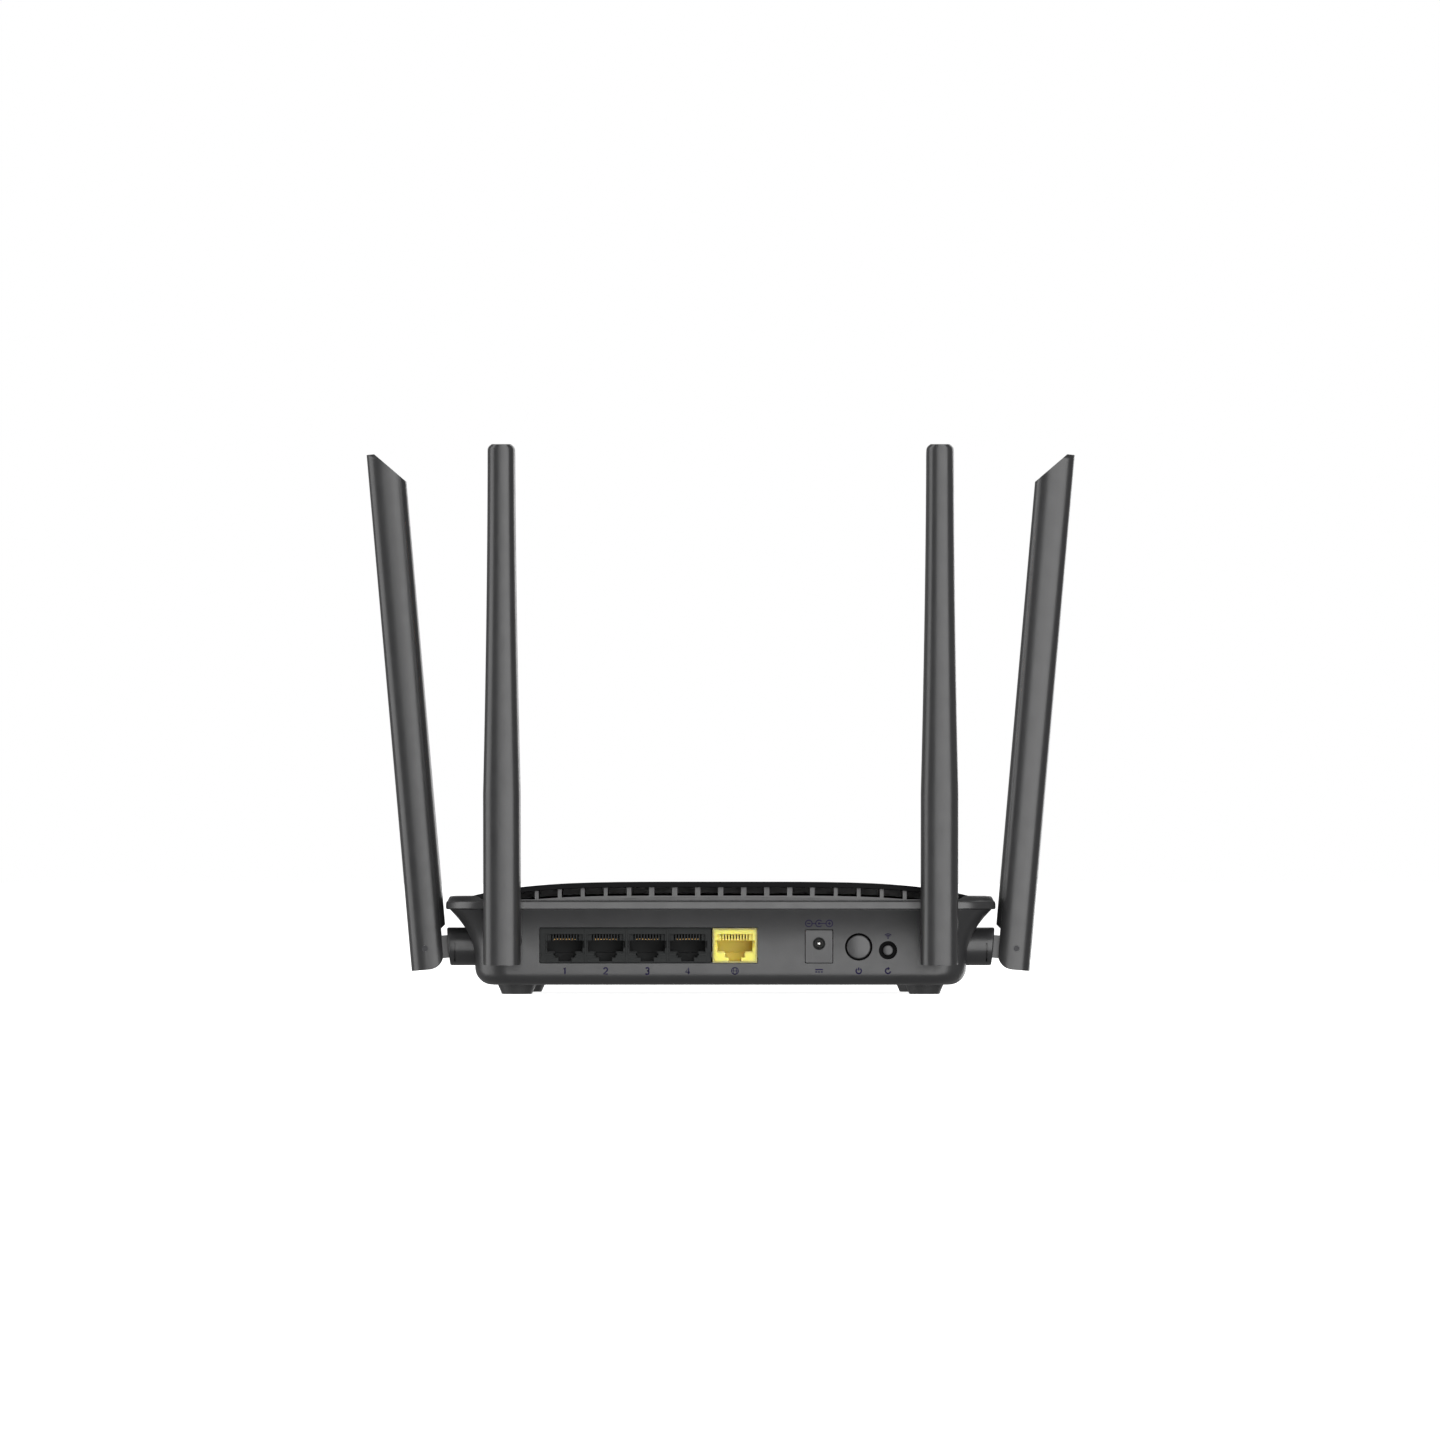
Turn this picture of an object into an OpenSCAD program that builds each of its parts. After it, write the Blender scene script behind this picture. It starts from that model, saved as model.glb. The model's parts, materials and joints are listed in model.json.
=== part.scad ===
// Wireless router with four folding blade antennas.
// The port panel faces -Y, the indicator side faces +Y, and the feet stand on Z = 0.
// Left and right are as seen from behind, facing the ports.

/* [Body] */
// Width over the wing tips
body_w = 188; // [184:1:194]
// Depth over the rim
body_d = 128; // [122:1:140]
// Height of the seam between the two case halves
seam_z = 29.0; // [28.6:0.1:29.4]
// Height of the top of the crown
crown_z = 38.4; // [38:0.1:40]
// Thickness of the case walls
wall = 2.2; // [2:0.1:2.6]
// How far the rim stands out behind the port panel
rim_over = 4.5; // [3:0.5:5]
// Thickness of the black top plate
plate_t = 1.85; // [1.6:0.05:2.2]
// Height of the feet below the case
foot_h = 3.2; // [2.5:0.1:4]

/* [Antennas] */
// Lean of an upright blade away from the case, in degrees
lean = 5; // [3:1:6]
// Length of a blade above its hinge pin
blade_top = 170; // [120:5:175]
// Width of a blade at its foot
blade_w = 12.8; // [12:0.1:14]
// Width of a blade at its tip
blade_tip_w = 9.4; // [8.5:0.1:12]
// Thickness of a blade without its cover
blade_d = 11.2; // [10.5:0.1:12]
// Thickness of the cover on a blade's inner face
cover_t = 1.6; // [1.2:0.1:2]
// Radius of the round stub that turns in the case wall
stub_r = 6.5; // [6:0.05:6.6]
// Radial clearance of the stub in its bore
stub_gap = 0.06; // [0.02:0.01:0.1]
// How far the stub stands out of the case
stub_out = 8.1; // [8:0.1:9]
// Distance from the stub's end to the hinge pin
pin_reach = 8.0; // [8:0.1:8.5]
// Radius of the hinge pin
pin_r = 1.0; // [0.8:0.05:1.2]
// Height of the side stubs
side_stub_z = 16.3; // [16:0.1:17]
// Height of the rear stubs
rear_stub_z = 18.4; // [17.5:0.1:18.5]
// Distance of the rear stubs from the middle
rear_stub_x = 74.4; // [73:0.1:74.5]
// How far in front of the port panel the side stubs sit
side_stub_in = 17; // [16:1:24]

/* [Sockets] */
// Left edge of the four-socket block
lan_x = -61.7; // [-62:0.1:-61.4]
// Width of the four-socket block
lan_w = 58.5; // [58.5:0.1:59]
// Width of the single socket
wan_w = 15.3; // [15.2:0.1:15.6]
// Middle of the single socket
wan_x = 4.85; // [4.8:0.05:5.6]
// Height of the sockets' undersides
socket_z = 10.75; // [10.6:0.05:11]
// Height of a socket block
socket_h = 11.9; // [11.9:0.1:12.2]
// Middle of the power inlet
inlet_x = 33.55; // [33:0.05:35]
// Radius of the hole in the power inlet
inlet_r = 2.1; // [2:0.05:2.3]

/* [Buttons] */
// Middle of the power button
power_x = 47.1; // [47:0.1:48]
// Radius of the power button's cap
power_r = 4.05; // [3.8:0.05:4.2]
// Travel of the power button
power_travel = 2; // [1.5:0.1:2]
// Middle of the reset button
reset_x = 57.1; // [57:0.1:58]
// Radius of the reset button's cap
reset_r = 1.7; // [1.5:0.1:2]
// Travel of the reset button
reset_travel = 0.6; // [0.3:0.1:0.8]

/* [Vents] */
// Spacing of the ribs in the middle of the rear vent
rib_pitch = 7.85; // [7.5:0.05:8.2]
// Number of ribs to each side of the middle one
ribs_side = 8; // [6:1:8]

/* [Hidden] */
ANTENNAS = ["rear_left", "rear_right", "side_left", "side_right"];
ANTENNA_PIECES = ["stub", "retainer", "blade", "cover", "hinge_pin", "radiator"];

$fn = 64;
eps = 0.01;

// Antenna geometry, in a frame with x outward along the stub and z up
skin_gap = 0.5;                             // stub end to the blade's cover
fork_x = skin_gap + cover_t;                // inner face of the blade's fork
blade_x = fork_x + blade_d;                 // outer face of the blade
blade_foot = 7.35;                          // blade below its pin
blade_taper_z = 51;                         // the blade is parallel below this
blade_taper_power = 1.7;                    // the taper is steepest at its start
blade_taper_steps = 6;
foot_inner_r = 5.0;                         // clears the stub's end as the blade folds
foot_outer_r = 0.4;
tip_flat = 2.66;                            // flat at the very tip
tip_slope = 1.018;                          // fall of the slanted tip per mm
tip_corner = [1.2, 1.8];
blade_power = 2.8;                          // the section is a rounded rectangle: a superellipse
blade_section_steps = 32;
skin = 1.5;                                 // wall of the hollow blade
tongue_w = 5.0;
tongue_h = 7.8;
fork_gap = 0.2;                             // each side of the tongue
tongue_clear = 0.35;                        // round the tongue's eye
cover_foot_z = 6.3;
stub_len = 16.5;
groove_x = 14.9;                            // the retainer's groove, from the stub's end
groove_r = 5.2;
clip_t = 1.0;
clip_r = 7.0;
lead_bore_r = 2.0;
sleeve_r = 8.3;
sleeve_end = 14.2;                          // inner end of the guide sleeve
radiator = [0.8, 5.0, 128];

// Overall reach, which puts the origin under the middle of the whole object
rear_reach = stub_out + blade_x * cos(lean) + blade_top * sin(lean);
depth = rear_reach + body_d - rim_over;
panel_y = rear_reach - depth / 2;           // the port panel's lower face
rim_y0 = panel_y - rim_over;                // rearmost edge of the rim
rim_y1 = rim_y0 + body_d;                   // front edge of the rim
half_w = body_w / 2;
side_stub_x = half_w - 0.8;                 // end face of a side stub
rear_stub_y = panel_y - stub_out;           // end face of a rear stub
side_stub_y = panel_y + side_stub_in;

// Case profile: half-width of the base at height z, and how far its ends flare
base_z = foot_h;
base_low_w = half_w - 10;                   // half-width of the base low down
flare_z = 12;                               // the sides and ends flare above this
side_flare = [8.73, 17.1];                  // how far the sides flare, over what height
end_flare = [3.2, 16.6];
function flare_x(z) = base_low_w + side_flare[0] * pow(max(0, z - flare_z) / side_flare[1], 2);
function flare_y(z) = end_flare[0] * pow(max(0, z - flare_z) / end_flare[1], 2);
side_fillet = 6;                            // fillets between the floor and the sides and ends
end_fillet = 4.4;
function fillet(r, h) = h >= r ? 0 : r - sqrt(r * r - (r - h) * (r - h));
base_low_levels = [0, 0.35, 1.2, 2.4, 4.4, 6];
base_high_levels = [12, 16, 19.5, 22.5, 25.3, seam_z];
ring_steps = 8;                             // chords to each corner of an outline
rear_corner_r = 11;
front_corner_r = 22;

// Rim and crown
rim_top = 31.8;
wing_top = 33.5;
crown_w = 85;                               // half-width of the top plate
crown_fall = 4.8;
crown_power = 4.5;
crown_steps = 20;
plate_y0 = rim_y0 + 2;
plate_y1 = rim_y1 - 5;
vent_y = rim_y0 + 5;                        // outer face of the vent wall
vent_w = 80;                                // half-width of the vent wall
rib_w = [1.8, 1.3];                         // ribs in the middle and at the ends
vent_h = 2.85;
trough_w = 71;                              // half-width of the level ledge in front of the vents
trough_z = 32.0;
front_fall = 3.2;                           // drop of the crown towards the front
fall_from = 10;                             // where that drop starts
front_steps = 10;

// Board and what stands on it
board_z = 8.95;
board_t = 1.6;
board_top = board_z + board_t;
board_y0 = panel_y + 3.4;
board_y1 = board_y0 + 96;
board_w = 144;
board_rear_w = 128;
board_step = 20;                            // length of the narrower rear part
board_holes = [[-58, board_y0 + 24], [58, board_y0 + 24], [-54, board_y1 - 8], [54, board_y1 - 8]];
case_holes = [[-66, rim_y0 + 36], [66, rim_y0 + 36], [-66, rim_y1 - 30], [66, rim_y1 - 30]];
boss_r = 3.2;
screw_r = 1.25;
screw_head = [2.6, 1.6];                    // radius and height
board_screw_r = 1.0;
case_screw_len = 18;
counterbore_r = 3.2;
counterbore_h = 2.4;

// Sockets
lan_xs = [-53.2, -39.3, -25.1, -11.3];      // middles of the four openings
socket_d = 18;
lan_y = panel_y + 0.2;
wan_y = panel_y - 0.3;
port_gap = 0.2;
jack_w = 12.0;
jack_h = 6.4;
jack_drop = 2.1;                            // top edge to the opening
jack_deep = 14.5;
jack_side = [0.7, 3.1, 4.6];                // side notches: depth, height, drop to their foot
jack_steps = [[6.7, 1.55], [4.3, 2.85]];    // the tab's way: widths and depths below the opening
contact_pitch = 1.02;
contact_w = 0.44;
inlet = [9.3, 14, 11.2];
inlet_proud = 0.2;
inlet_z = socket_z;
inlet_hole_z = 17.3;
inlet_deep = 10;
inlet_pin_r = 0.65;
power_z = 16.2;
power_hole_r = 4.7;
power_cap_len = 6.5;
power_proud = 0.8;
reset_z = 15.05;
reset_hole_r = 3.13;
reset_cap_len = 7.5;
reset_sunk = 0.3;

// Feet
foot_places = [[69.7, panel_y + 14], [67.5, panel_y + 106.5]];
foot_r = [5.2, 6.55];                       // at the floor and at the case

plastic = [0.21, 0.21, 0.22];
black = [0.07, 0.07, 0.075];
metal = [0.75, 0.75, 0.76];
gold = [0.85, 0.65, 0.25];
yellow = [0.93, 0.80, 0.25];
green = [0.05, 0.25, 0.14];
grey = [0.42, 0.42, 0.42];
rubber = [0.15, 0.15, 0.15];

// ---------------------------------------------------------------- helpers

// A rounded outline: half-width hx, rear edge y0, front edge y1, corner radii r0 and r1
function outline(hx, y0, y1, r0, r1) = concat(
    [for (i = [0:ring_steps]) let (a = 270 + 90 * i / ring_steps)
        [hx - r0 + r0 * cos(a), y0 + r0 + r0 * sin(a)]],
    [for (i = [0:ring_steps]) let (a = 90 * i / ring_steps)
        [hx - r1 + r1 * cos(a), y1 - r1 + r1 * sin(a)]],
    [for (i = [0:ring_steps]) let (a = 90 + 90 * i / ring_steps)
        [-hx + r1 + r1 * cos(a), y1 - r1 + r1 * sin(a)]],
    [for (i = [0:ring_steps]) let (a = 180 + 90 * i / ring_steps)
        [-hx + r0 + r0 * cos(a), y0 + r0 + r0 * sin(a)]]
);

// A closed solid through outlines of equal length; levels are [z, outline]
module loft(levels) {
    n = len(levels[0][1]);
    last = len(levels) - 1;
    points = [for (l = levels) for (p = l[1]) [p[0], p[1], l[0]]];
    sides = [for (k = [0:last - 1]) for (i = [0:n - 1])
        [k * n + i, (k + 1) * n + i, (k + 1) * n + (i + 1) % n, k * n + (i + 1) % n]];
    bottom = [[for (i = [0:n - 1]) i]];
    top = [[for (i = [n - 1:-1:0]) last * n + i]];
    polyhedron(points = points, faces = concat(bottom, sides, top), convexity = 4);
}

// The base's outline at height z, its sides and ends drawn in by so much
function base_outline(z, in_x, in_y) = outline(
    flare_x(z) - in_x,
    panel_y - flare_y(z) + in_y,
    rim_y1 - rim_over + flare_y(z) - in_y,
    rear_corner_r - in_y, front_corner_r - in_y
);

module base_solid(inset, lift, top) {
    low = [for (h = base_low_levels) let (z = base_z + h)
        [z + lift, base_outline(z, inset + fillet(side_fillet, h), inset + fillet(end_fillet, h))]];
    high = [for (z = base_high_levels) [z == seam_z ? top : z, base_outline(z, inset, inset)]];
    loft(concat(low, high));
}

module slab(hx, y0, y1, r0, r1, z0, z1) {
    translate([0, 0, z0]) linear_extrude(z1 - z0) polygon(outline(hx, y0, y1, r0, r1));
}

function crown(x) = crown_z - crown_fall * pow(min(1, abs(x) / crown_w), crown_power);

// Everything under the crown, inside the top plate's outline grown by grow, lowered by drop
module crown_block(grow, drop, low) {
    reach = crown_w + grow;
    xs = [for (i = [-crown_steps:crown_steps]) reach * i / crown_steps];
    back = plate_y0 - grow;
    front = plate_y1 + grow;
    fall_y = [for (i = [0:front_steps]) fall_from + (front - fall_from) * i / front_steps];
    intersection() {
        slab(reach, back, front, 10, 18, low, crown_z + 1);
        translate([0, front + 1, 0]) rotate([90, 0, 0]) linear_extrude(front - back + 2)
            polygon(concat([[reach, low - 1], [-reach, low - 1]], [for (x = xs) [x, crown(x) - drop]]));
        translate([-reach - 1, 0, 0]) rotate([90, 0, 90]) linear_extrude(2 * reach + 2)
            polygon(concat([[front + 1, low - 1], [back - 1, low - 1], [back - 1, crown_z - drop]],
                [for (y = fall_y) let (t = (y - fall_from) / (front - fall_from))
                    [y, crown_z - drop - front_fall * t * t]],
                [[front + 1, crown_z - drop - front_fall]]));
    }
}

// A cylinder along +X
module along_x(r, x0, x1) {
    translate([x0, 0, 0]) rotate([0, 90, 0]) cylinder(r = r, h = x1 - x0);
}

// A cylinder along +Y
module along_y(r, y0, y1) {
    translate([0, y1, 0]) rotate([90, 0, 0]) cylinder(r = r, h = y1 - y0);
}

// Places an antenna's own frame: x outward along its stub, z up, origin at the stub's end
module antenna_frame(which) {
    rear = which == "rear_left" || which == "rear_right";
    left = which == "rear_left" || which == "side_left";
    side = left ? -1 : 1;
    place = rear ? [side * rear_stub_x, rear_stub_y, rear_stub_z] : [side * side_stub_x, side_stub_y, side_stub_z];
    translate(place) rotate([0, 0, rear ? -90 : left ? 180 : 0]) children();
}

module each_antenna() {
    for (a = ANTENNAS) antenna_frame(a) children();
}

// Repeats a piece at each place of a fastener pattern
module at_holes(holes) {
    for (h = holes) translate([h[0], h[1], 0]) children();
}

// ---------------------------------------------------------------- case

module base_shell() {
    color(plastic) difference() {
        union() {
            difference() {
                base_solid(0, 0, seam_z);
                base_solid(wall, wall, seam_z + 1);
            }
            intersection() {
                each_antenna() along_x(sleeve_r, -sleeve_end, 0);
                base_solid(0.4, 0, seam_z);
            }
            at_holes(board_holes) translate([0, 0, base_z + 1])
                cylinder(r = boss_r, h = board_z - base_z - 1);
            at_holes(case_holes) translate([0, 0, base_z + 1]) cylinder(r = boss_r + 1.6, h = 4);
        }
        each_antenna() along_x(stub_r + stub_gap, -stub_len - 1, 2);
        port_cuts();
        at_holes(board_holes) translate([0, 0, board_z - 2.5]) cylinder(r = board_screw_r, h = 6);
        at_holes(case_holes) {
            translate([0, 0, base_z - 1]) cylinder(r = counterbore_r, h = counterbore_h + 1);
            translate([0, 0, base_z]) cylinder(r = screw_r + 0.15, h = 10);
        }
        underside_vents();
    }
}

// Openings in the port panel
module port_cuts() {
    back = panel_y - 3;
    deep = wall + 3.4;
    translate([lan_x - port_gap, back, socket_z - port_gap])
        cube([lan_w + 2 * port_gap, deep, socket_h + 2 * port_gap]);
    translate([wan_x - wan_w / 2 - port_gap, back, socket_z - port_gap])
        cube([wan_w + 2 * port_gap, deep, socket_h + 2 * port_gap]);
    translate([inlet_x - inlet[0] / 2 - port_gap, back, inlet_z - port_gap])
        cube([inlet[0] + 2 * port_gap, deep, inlet[2] + 2 * port_gap]);
    translate([power_x, 0, power_z]) along_y(power_hole_r, back, back + deep);
    translate([reset_x, 0, reset_z]) along_y(reset_hole_r, back, back + deep);
}

// Rows of air slots in the floor of the base
module underside_vents() {
    slot = [2.2, 26, wall + 2];
    slot_pitch = 6.5;
    for (y = [panel_y + 34, panel_y + 74]) for (i = [-6:6])
        translate([i * slot_pitch - slot[0] / 2, y - slot[1] / 2, base_z - 1]) cube(slot);
}

module top_shell() {
    color(plastic) difference() {
        union() {
            difference() {
                top_shell_outside();
                top_shell_hollow();
                crown_block_cutter();
            }
            at_holes(case_holes) translate([0, 0, base_z + 5]) cylinder(r = boss_r, h = rim_top - base_z - 4);
        }
        for (i = [-ribs_side - 1:ribs_side]) vent_slot(i);
        lens_recess();
        guide_opening();
        at_holes(case_holes) translate([0, 0, base_z + 4]) cylinder(r = screw_r, h = case_screw_len - 4);
    }
}

module top_shell_outside() {
    loft([
        [seam_z, outline(half_w - 0.6, rim_y0 + 0.5, rim_y1 - 0.5, 15, 24)],
        [seam_z + 0.6, outline(half_w, rim_y0, rim_y1, 15, 24)],
        [30.8, outline(half_w, rim_y0, rim_y1, 15, 24)],
        [rim_top, outline(half_w - 0.45, rim_y0 + 0.3, rim_y1 - 0.5, 15, 24)]
    ]);
    difference() {
        loft([
            [rim_top - 0.5, outline(half_w - 0.45, rim_y0 + 3.2, rim_y1 - 0.5, 14, 24)],
            [wing_top, outline(half_w - 1.2, rim_y0 + 4.6, rim_y1 - 1.5, 14, 24)]
        ]);
        vent_trough();
    }
    intersection() {
        crown_block(0, plate_t, rim_top - 1);
        slab(vent_w, vent_y, plate_y1 - 1, 8, 16, rim_top - 1, crown_z);
    }
}

module top_shell_hollow() {
    slab(half_w - 4.6, rim_y0 + 4.4, rim_y1 - 4.4, 12, 20, seam_z - 1, rim_top - 0.4);
    intersection() {
        crown_block(0, plate_t + wall, rim_top - 2);
        slab(vent_w - wall, vent_y + wall, plate_y1 - 1 - wall, 6, 14, rim_top - 2, crown_z);
    }
}

// The bed that the top plate lies in
module crown_block_cutter() {
    difference() {
        slab(crown_w + 0.15, plate_y0 - 0.15, plate_y1 + 0.15, 10, 18, rim_top, crown_z + 2);
        crown_block(1, plate_t, rim_top - 1);
    }
}

// Level ledge between the strip of the rim and the vent wall
module vent_trough() {
    translate([-trough_w, rim_y0 + 1, trough_z]) cube([2 * trough_w, vent_y - rim_y0, 3]);
}

// One opening between two ribs of the rear vent; ribs get thinner towards the ends
module vent_slot(i) {
    x0 = i * rib_pitch;
    x1 = x0 + rib_pitch;
    mid = (x0 + x1) / 2;
    rib = abs(mid) < 4 * rib_pitch ? rib_w[0] : rib_w[1];
    top = crown(mid) - plate_t;
    low = max(top - vent_h, trough_z + 0.4);
    slope = atan2(crown(x0) - crown(x1), rib_pitch);
    translate([mid, rim_y0 + 3, (low + top) / 2]) rotate([0, slope, 0])
        translate([-(rib_pitch - rib) / 2, 0, (low - top) / 2])
            cube([rib_pitch - rib, 6, top - low + 0.6]);
}

// Opening in the roof for the light guide
module guide_opening() {
    translate([-window[0] / 2 + 1, window_y - window[1] / 2 + 0.5, window_z - 6])
        cube([window[0] - 2, window[1] - 1, 8]);
}

// Shallow lens-shaped recess under the middle of the vent
module lens_recess() {
    lens_w = 35.6;
    lens_h = 0.65;
    r = (lens_w * lens_w + lens_h * lens_h) / (2 * lens_h);
    translate([0, rim_y0 + 6, 32.65]) rotate([90, 0, 0]) linear_extrude(4) intersection() {
        translate([0, r - lens_h]) circle(r = r, $fn = 720);
        translate([0, lens_h - r]) circle(r = r, $fn = 720);
        square([2 * lens_w, 2], center = true);
    }
}

window = [46, 5, 1.2];
window_y = plate_y1 - 20;
window_z = crown_z - front_fall * pow((window_y - fall_from) / (plate_y1 - fall_from), 2);

module top_plate() {
    color(black) difference() {
        crown_block(0, 0, rim_top - 1);
        crown_block(1, plate_t, rim_top - 2);
        slab(crown_w + 1, plate_y0 - 1, plate_y1 + 1, 10, 18, rim_top - 2, rim_top + 0.2);
        translate([-window[0] / 2, window_y - window[1] / 2, window_z - 4]) cube([window[0], window[1], 8]);
    }
}

// Smoked strip over the indicators
module indicator_window() {
    color("dimgray") intersection() {
        translate([-window[0] / 2 + 0.1, window_y - window[1] / 2 + 0.1, window_z - window[2]])
            cube([window[0] - 0.2, window[1] - 0.2, 6]);
        crown_block(0, 0, rim_top - 1);
    }
}

led_xs = [-18, -12, -6, 0, 6, 12, 18];

// Clear bar with a leg down to each indicator
module light_guide() {
    led_top = board_top + 1.2;
    bar_z = window_z - window[2] - 2;
    color("white") {
        translate([-21, window_y - 1.5, bar_z]) cube([42, 3, 1.5]);
        for (x = led_xs) translate([x, window_y, led_top]) cylinder(r = 1.2, h = bar_z - led_top, $fn = 24);
    }
}

module feet() {
    color(rubber) for (p = foot_places) for (s = [-1, 1])
        translate([s * p[0], p[1], 0]) cylinder(r1 = foot_r[0], r2 = foot_r[1], h = foot_h);
}

module case_screws() {
    head_z = base_z + counterbore_h - screw_head[1];
    color(metal) at_holes(case_holes) {
        difference() {
            translate([0, 0, head_z]) cylinder(r = screw_head[0], h = screw_head[1]);
            for (a = [0, 90]) rotate([0, 0, a]) translate([-1.6, -0.35, head_z - eps]) cube([3.2, 0.7, 0.9]);
        }
        translate([0, 0, head_z + screw_head[1]]) cylinder(r = screw_r, h = case_screw_len - 8);
    }
}

// ---------------------------------------------------------------- board

module circuit_board() {
    color(green) difference() {
        translate([0, 0, board_z]) linear_extrude(board_t) union() {
            translate([-board_rear_w / 2, board_y0]) square([board_rear_w, board_step + 2]);
            translate([-board_w / 2, board_y0 + board_step])
                square([board_w, board_y1 - board_y0 - board_step]);
        }
        at_holes(board_holes) translate([0, 0, board_z - 1]) cylinder(r = board_screw_r + 0.4, h = 4);
        at_holes(case_holes) translate([0, 0, board_z - 1]) cylinder(r = boss_r + 1, h = 4);
    }
}

module board_screws() {
    color(metal) at_holes(board_holes) {
        difference() {
            translate([0, 0, board_top]) cylinder(r = 2.3, h = 1.5);
            for (a = [0, 90]) rotate([0, 0, a]) translate([-1.4, -0.3, board_top + 0.7]) cube([2.8, 0.6, 1]);
        }
        translate([0, 0, board_z - 2.3]) cylinder(r = board_screw_r, h = 2.3 + board_t);
    }
}

// The space inside one modular socket; x is its middle, y the face of its block
module jack_space(x, y) {
    top = socket_z + socket_h - jack_drop;
    translate([x, y, 0]) {
        translate([-jack_w / 2, -1, top - jack_h]) cube([jack_w, jack_deep + 1, jack_h]);
        translate([-jack_w / 2 - jack_side[0], -1, top - jack_side[2]])
            cube([jack_w + 2 * jack_side[0], 4, jack_side[1]]);
        for (step = jack_steps)
            translate([-step[0] / 2, -1, top - jack_h - step[1]]) cube([step[0], jack_deep - 3, 2]);
    }
}

// Eight sprung wires under the ceiling of one socket
module jack_contacts(x, y) {
    for (i = [0:7])
        translate([x + (i - 3.5) * contact_pitch, y + 3.5, socket_z + socket_h - jack_drop - 1.9])
            rotate([8, 0, 0]) translate([-contact_w / 2, 0, 0]) cube([contact_w, 10, 0.3]);
}

module lan_socket() {
    color(black) difference() {
        translate([lan_x, lan_y, socket_z]) cube([lan_w, socket_d, socket_h]);
        for (x = lan_xs) jack_space(x, lan_y);
    }
}

module lan_contacts() {
    color(gold) for (x = lan_xs) jack_contacts(x, lan_y);
}

module wan_socket() {
    color(yellow) difference() {
        translate([wan_x - wan_w / 2, wan_y, socket_z]) cube([wan_w, socket_d, socket_h]);
        jack_space(wan_x, wan_y);
    }
}

module wan_contacts() {
    color(gold) jack_contacts(wan_x, wan_y);
}

module power_inlet() {
    color(plastic) difference() {
        translate([inlet_x - inlet[0] / 2, panel_y - inlet_proud, inlet_z]) cube(inlet);
        translate([inlet_x, 0, inlet_hole_z])
            along_y(inlet_r, panel_y - 1, panel_y - inlet_proud + inlet_deep);
    }
}

module power_inlet_pin() {
    color(metal) translate([inlet_x, 0, inlet_hole_z]) {
        along_y(inlet_pin_r, panel_y + 0.9, panel_y - inlet_proud + inlet_deep);
        translate([0, panel_y + 0.9, 0]) sphere(r = inlet_pin_r, $fn = 24);
    }
}

// ---------------------------------------------------------------- buttons

power_switch_y = panel_y + 11;
reset_switch_y = panel_y + 10.5;
plunger_r = 1.5;
reset_plunger_r = 0.8;
flange = [0.45, 2.5, 0.8];                  // over the hole's radius, behind the panel's face, thickness
plunger_gap = 0.05;

// Keeps a button behind its hole in the panel
module button_flange(hole_r) {
    along_y(hole_r + flange[0], panel_y + flange[1], panel_y + flange[1] + flange[2]);
}

module power_button() {
    color(grey) translate([power_x, 0, power_z]) difference() {
        union() {
            along_y(power_r, panel_y - power_proud, panel_y - power_proud + power_cap_len);
            button_flange(power_hole_r);
        }
        along_y(plunger_r, panel_y + 2, panel_y + 8);
    }
}

module power_plunger() {
    color("white") translate([power_x, 0, power_z]) along_y(plunger_r, panel_y + 2, power_switch_y + 3);
}

module power_switch() {
    color("dimgray") difference() {
        translate([power_x - 4, power_switch_y, board_top]) cube([8, 11, power_z - board_top + 3.5]);
        translate([power_x, 0, power_z])
            along_y(plunger_r + plunger_gap, power_switch_y - 1, power_switch_y + 3 + power_travel + 0.5);
    }
}

module reset_button() {
    color(grey) translate([reset_x, 0, reset_z]) difference() {
        union() {
            along_y(reset_r, panel_y + reset_sunk, panel_y + reset_sunk + reset_cap_len);
            button_flange(reset_hole_r);
        }
        along_y(reset_plunger_r, panel_y + 4, panel_y + 9);
    }
}

module reset_plunger() {
    color("white") translate([reset_x, 0, reset_z])
        along_y(reset_plunger_r, panel_y + 4, reset_switch_y + 1.5);
}

module reset_switch() {
    color("silver") difference() {
        translate([reset_x - 3, reset_switch_y, board_top]) cube([6, 3.6, reset_z - board_top + 3]);
        translate([reset_x, 0, reset_z])
            along_y(reset_plunger_r + plunger_gap, reset_switch_y - 1,
                reset_switch_y + 1.5 + reset_travel + 0.3);
    }
}

// ---------------------------------------------------------------- on the board

chip = [14, 14, 1.2];
chip_at = [2, panel_y + 58];

module processor_chip() {
    color(black) translate([chip_at[0] - chip[0] / 2, chip_at[1] - chip[1] / 2, board_top]) cube(chip);
}

pad_t = 0.6;

module thermal_pad() {
    color("lightgray") translate([chip_at[0] - chip[0] / 2, chip_at[1] - chip[1] / 2, board_top + chip[2]])
        cube([chip[0], chip[1], pad_t]);
}

module heat_sink() {
    fins = 9;
    side = 30;
    base_h = 2;
    fin = [1, 8];
    color(metal) translate([chip_at[0] - side / 2, chip_at[1] - side / 2, board_top + chip[2] + pad_t]) {
        cube([side, side, base_h]);
        for (i = [0:fins - 1]) translate([i * (side - fin[0]) / (fins - 1), 0, base_h])
            cube([fin[0], side, fin[1]]);
    }
}

module memory_chips() {
    color(black) {
        translate([26, chip_at[1] - 6, board_top]) cube([9, 13, 1.0]);
        translate([-36, chip_at[1] - 2, board_top]) cube([8, 6, 1.4]);
    }
}

module shield_can() {
    can = [30, 26, 3];
    color(metal) for (x = [-68, 40]) translate([x, panel_y + 62, board_top]) difference() {
        cube(can);
        translate([0.3, 0.3, -1]) cube([can[0] - 0.6, can[1] - 0.6, can[2] + 0.7]);
    }
}

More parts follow.
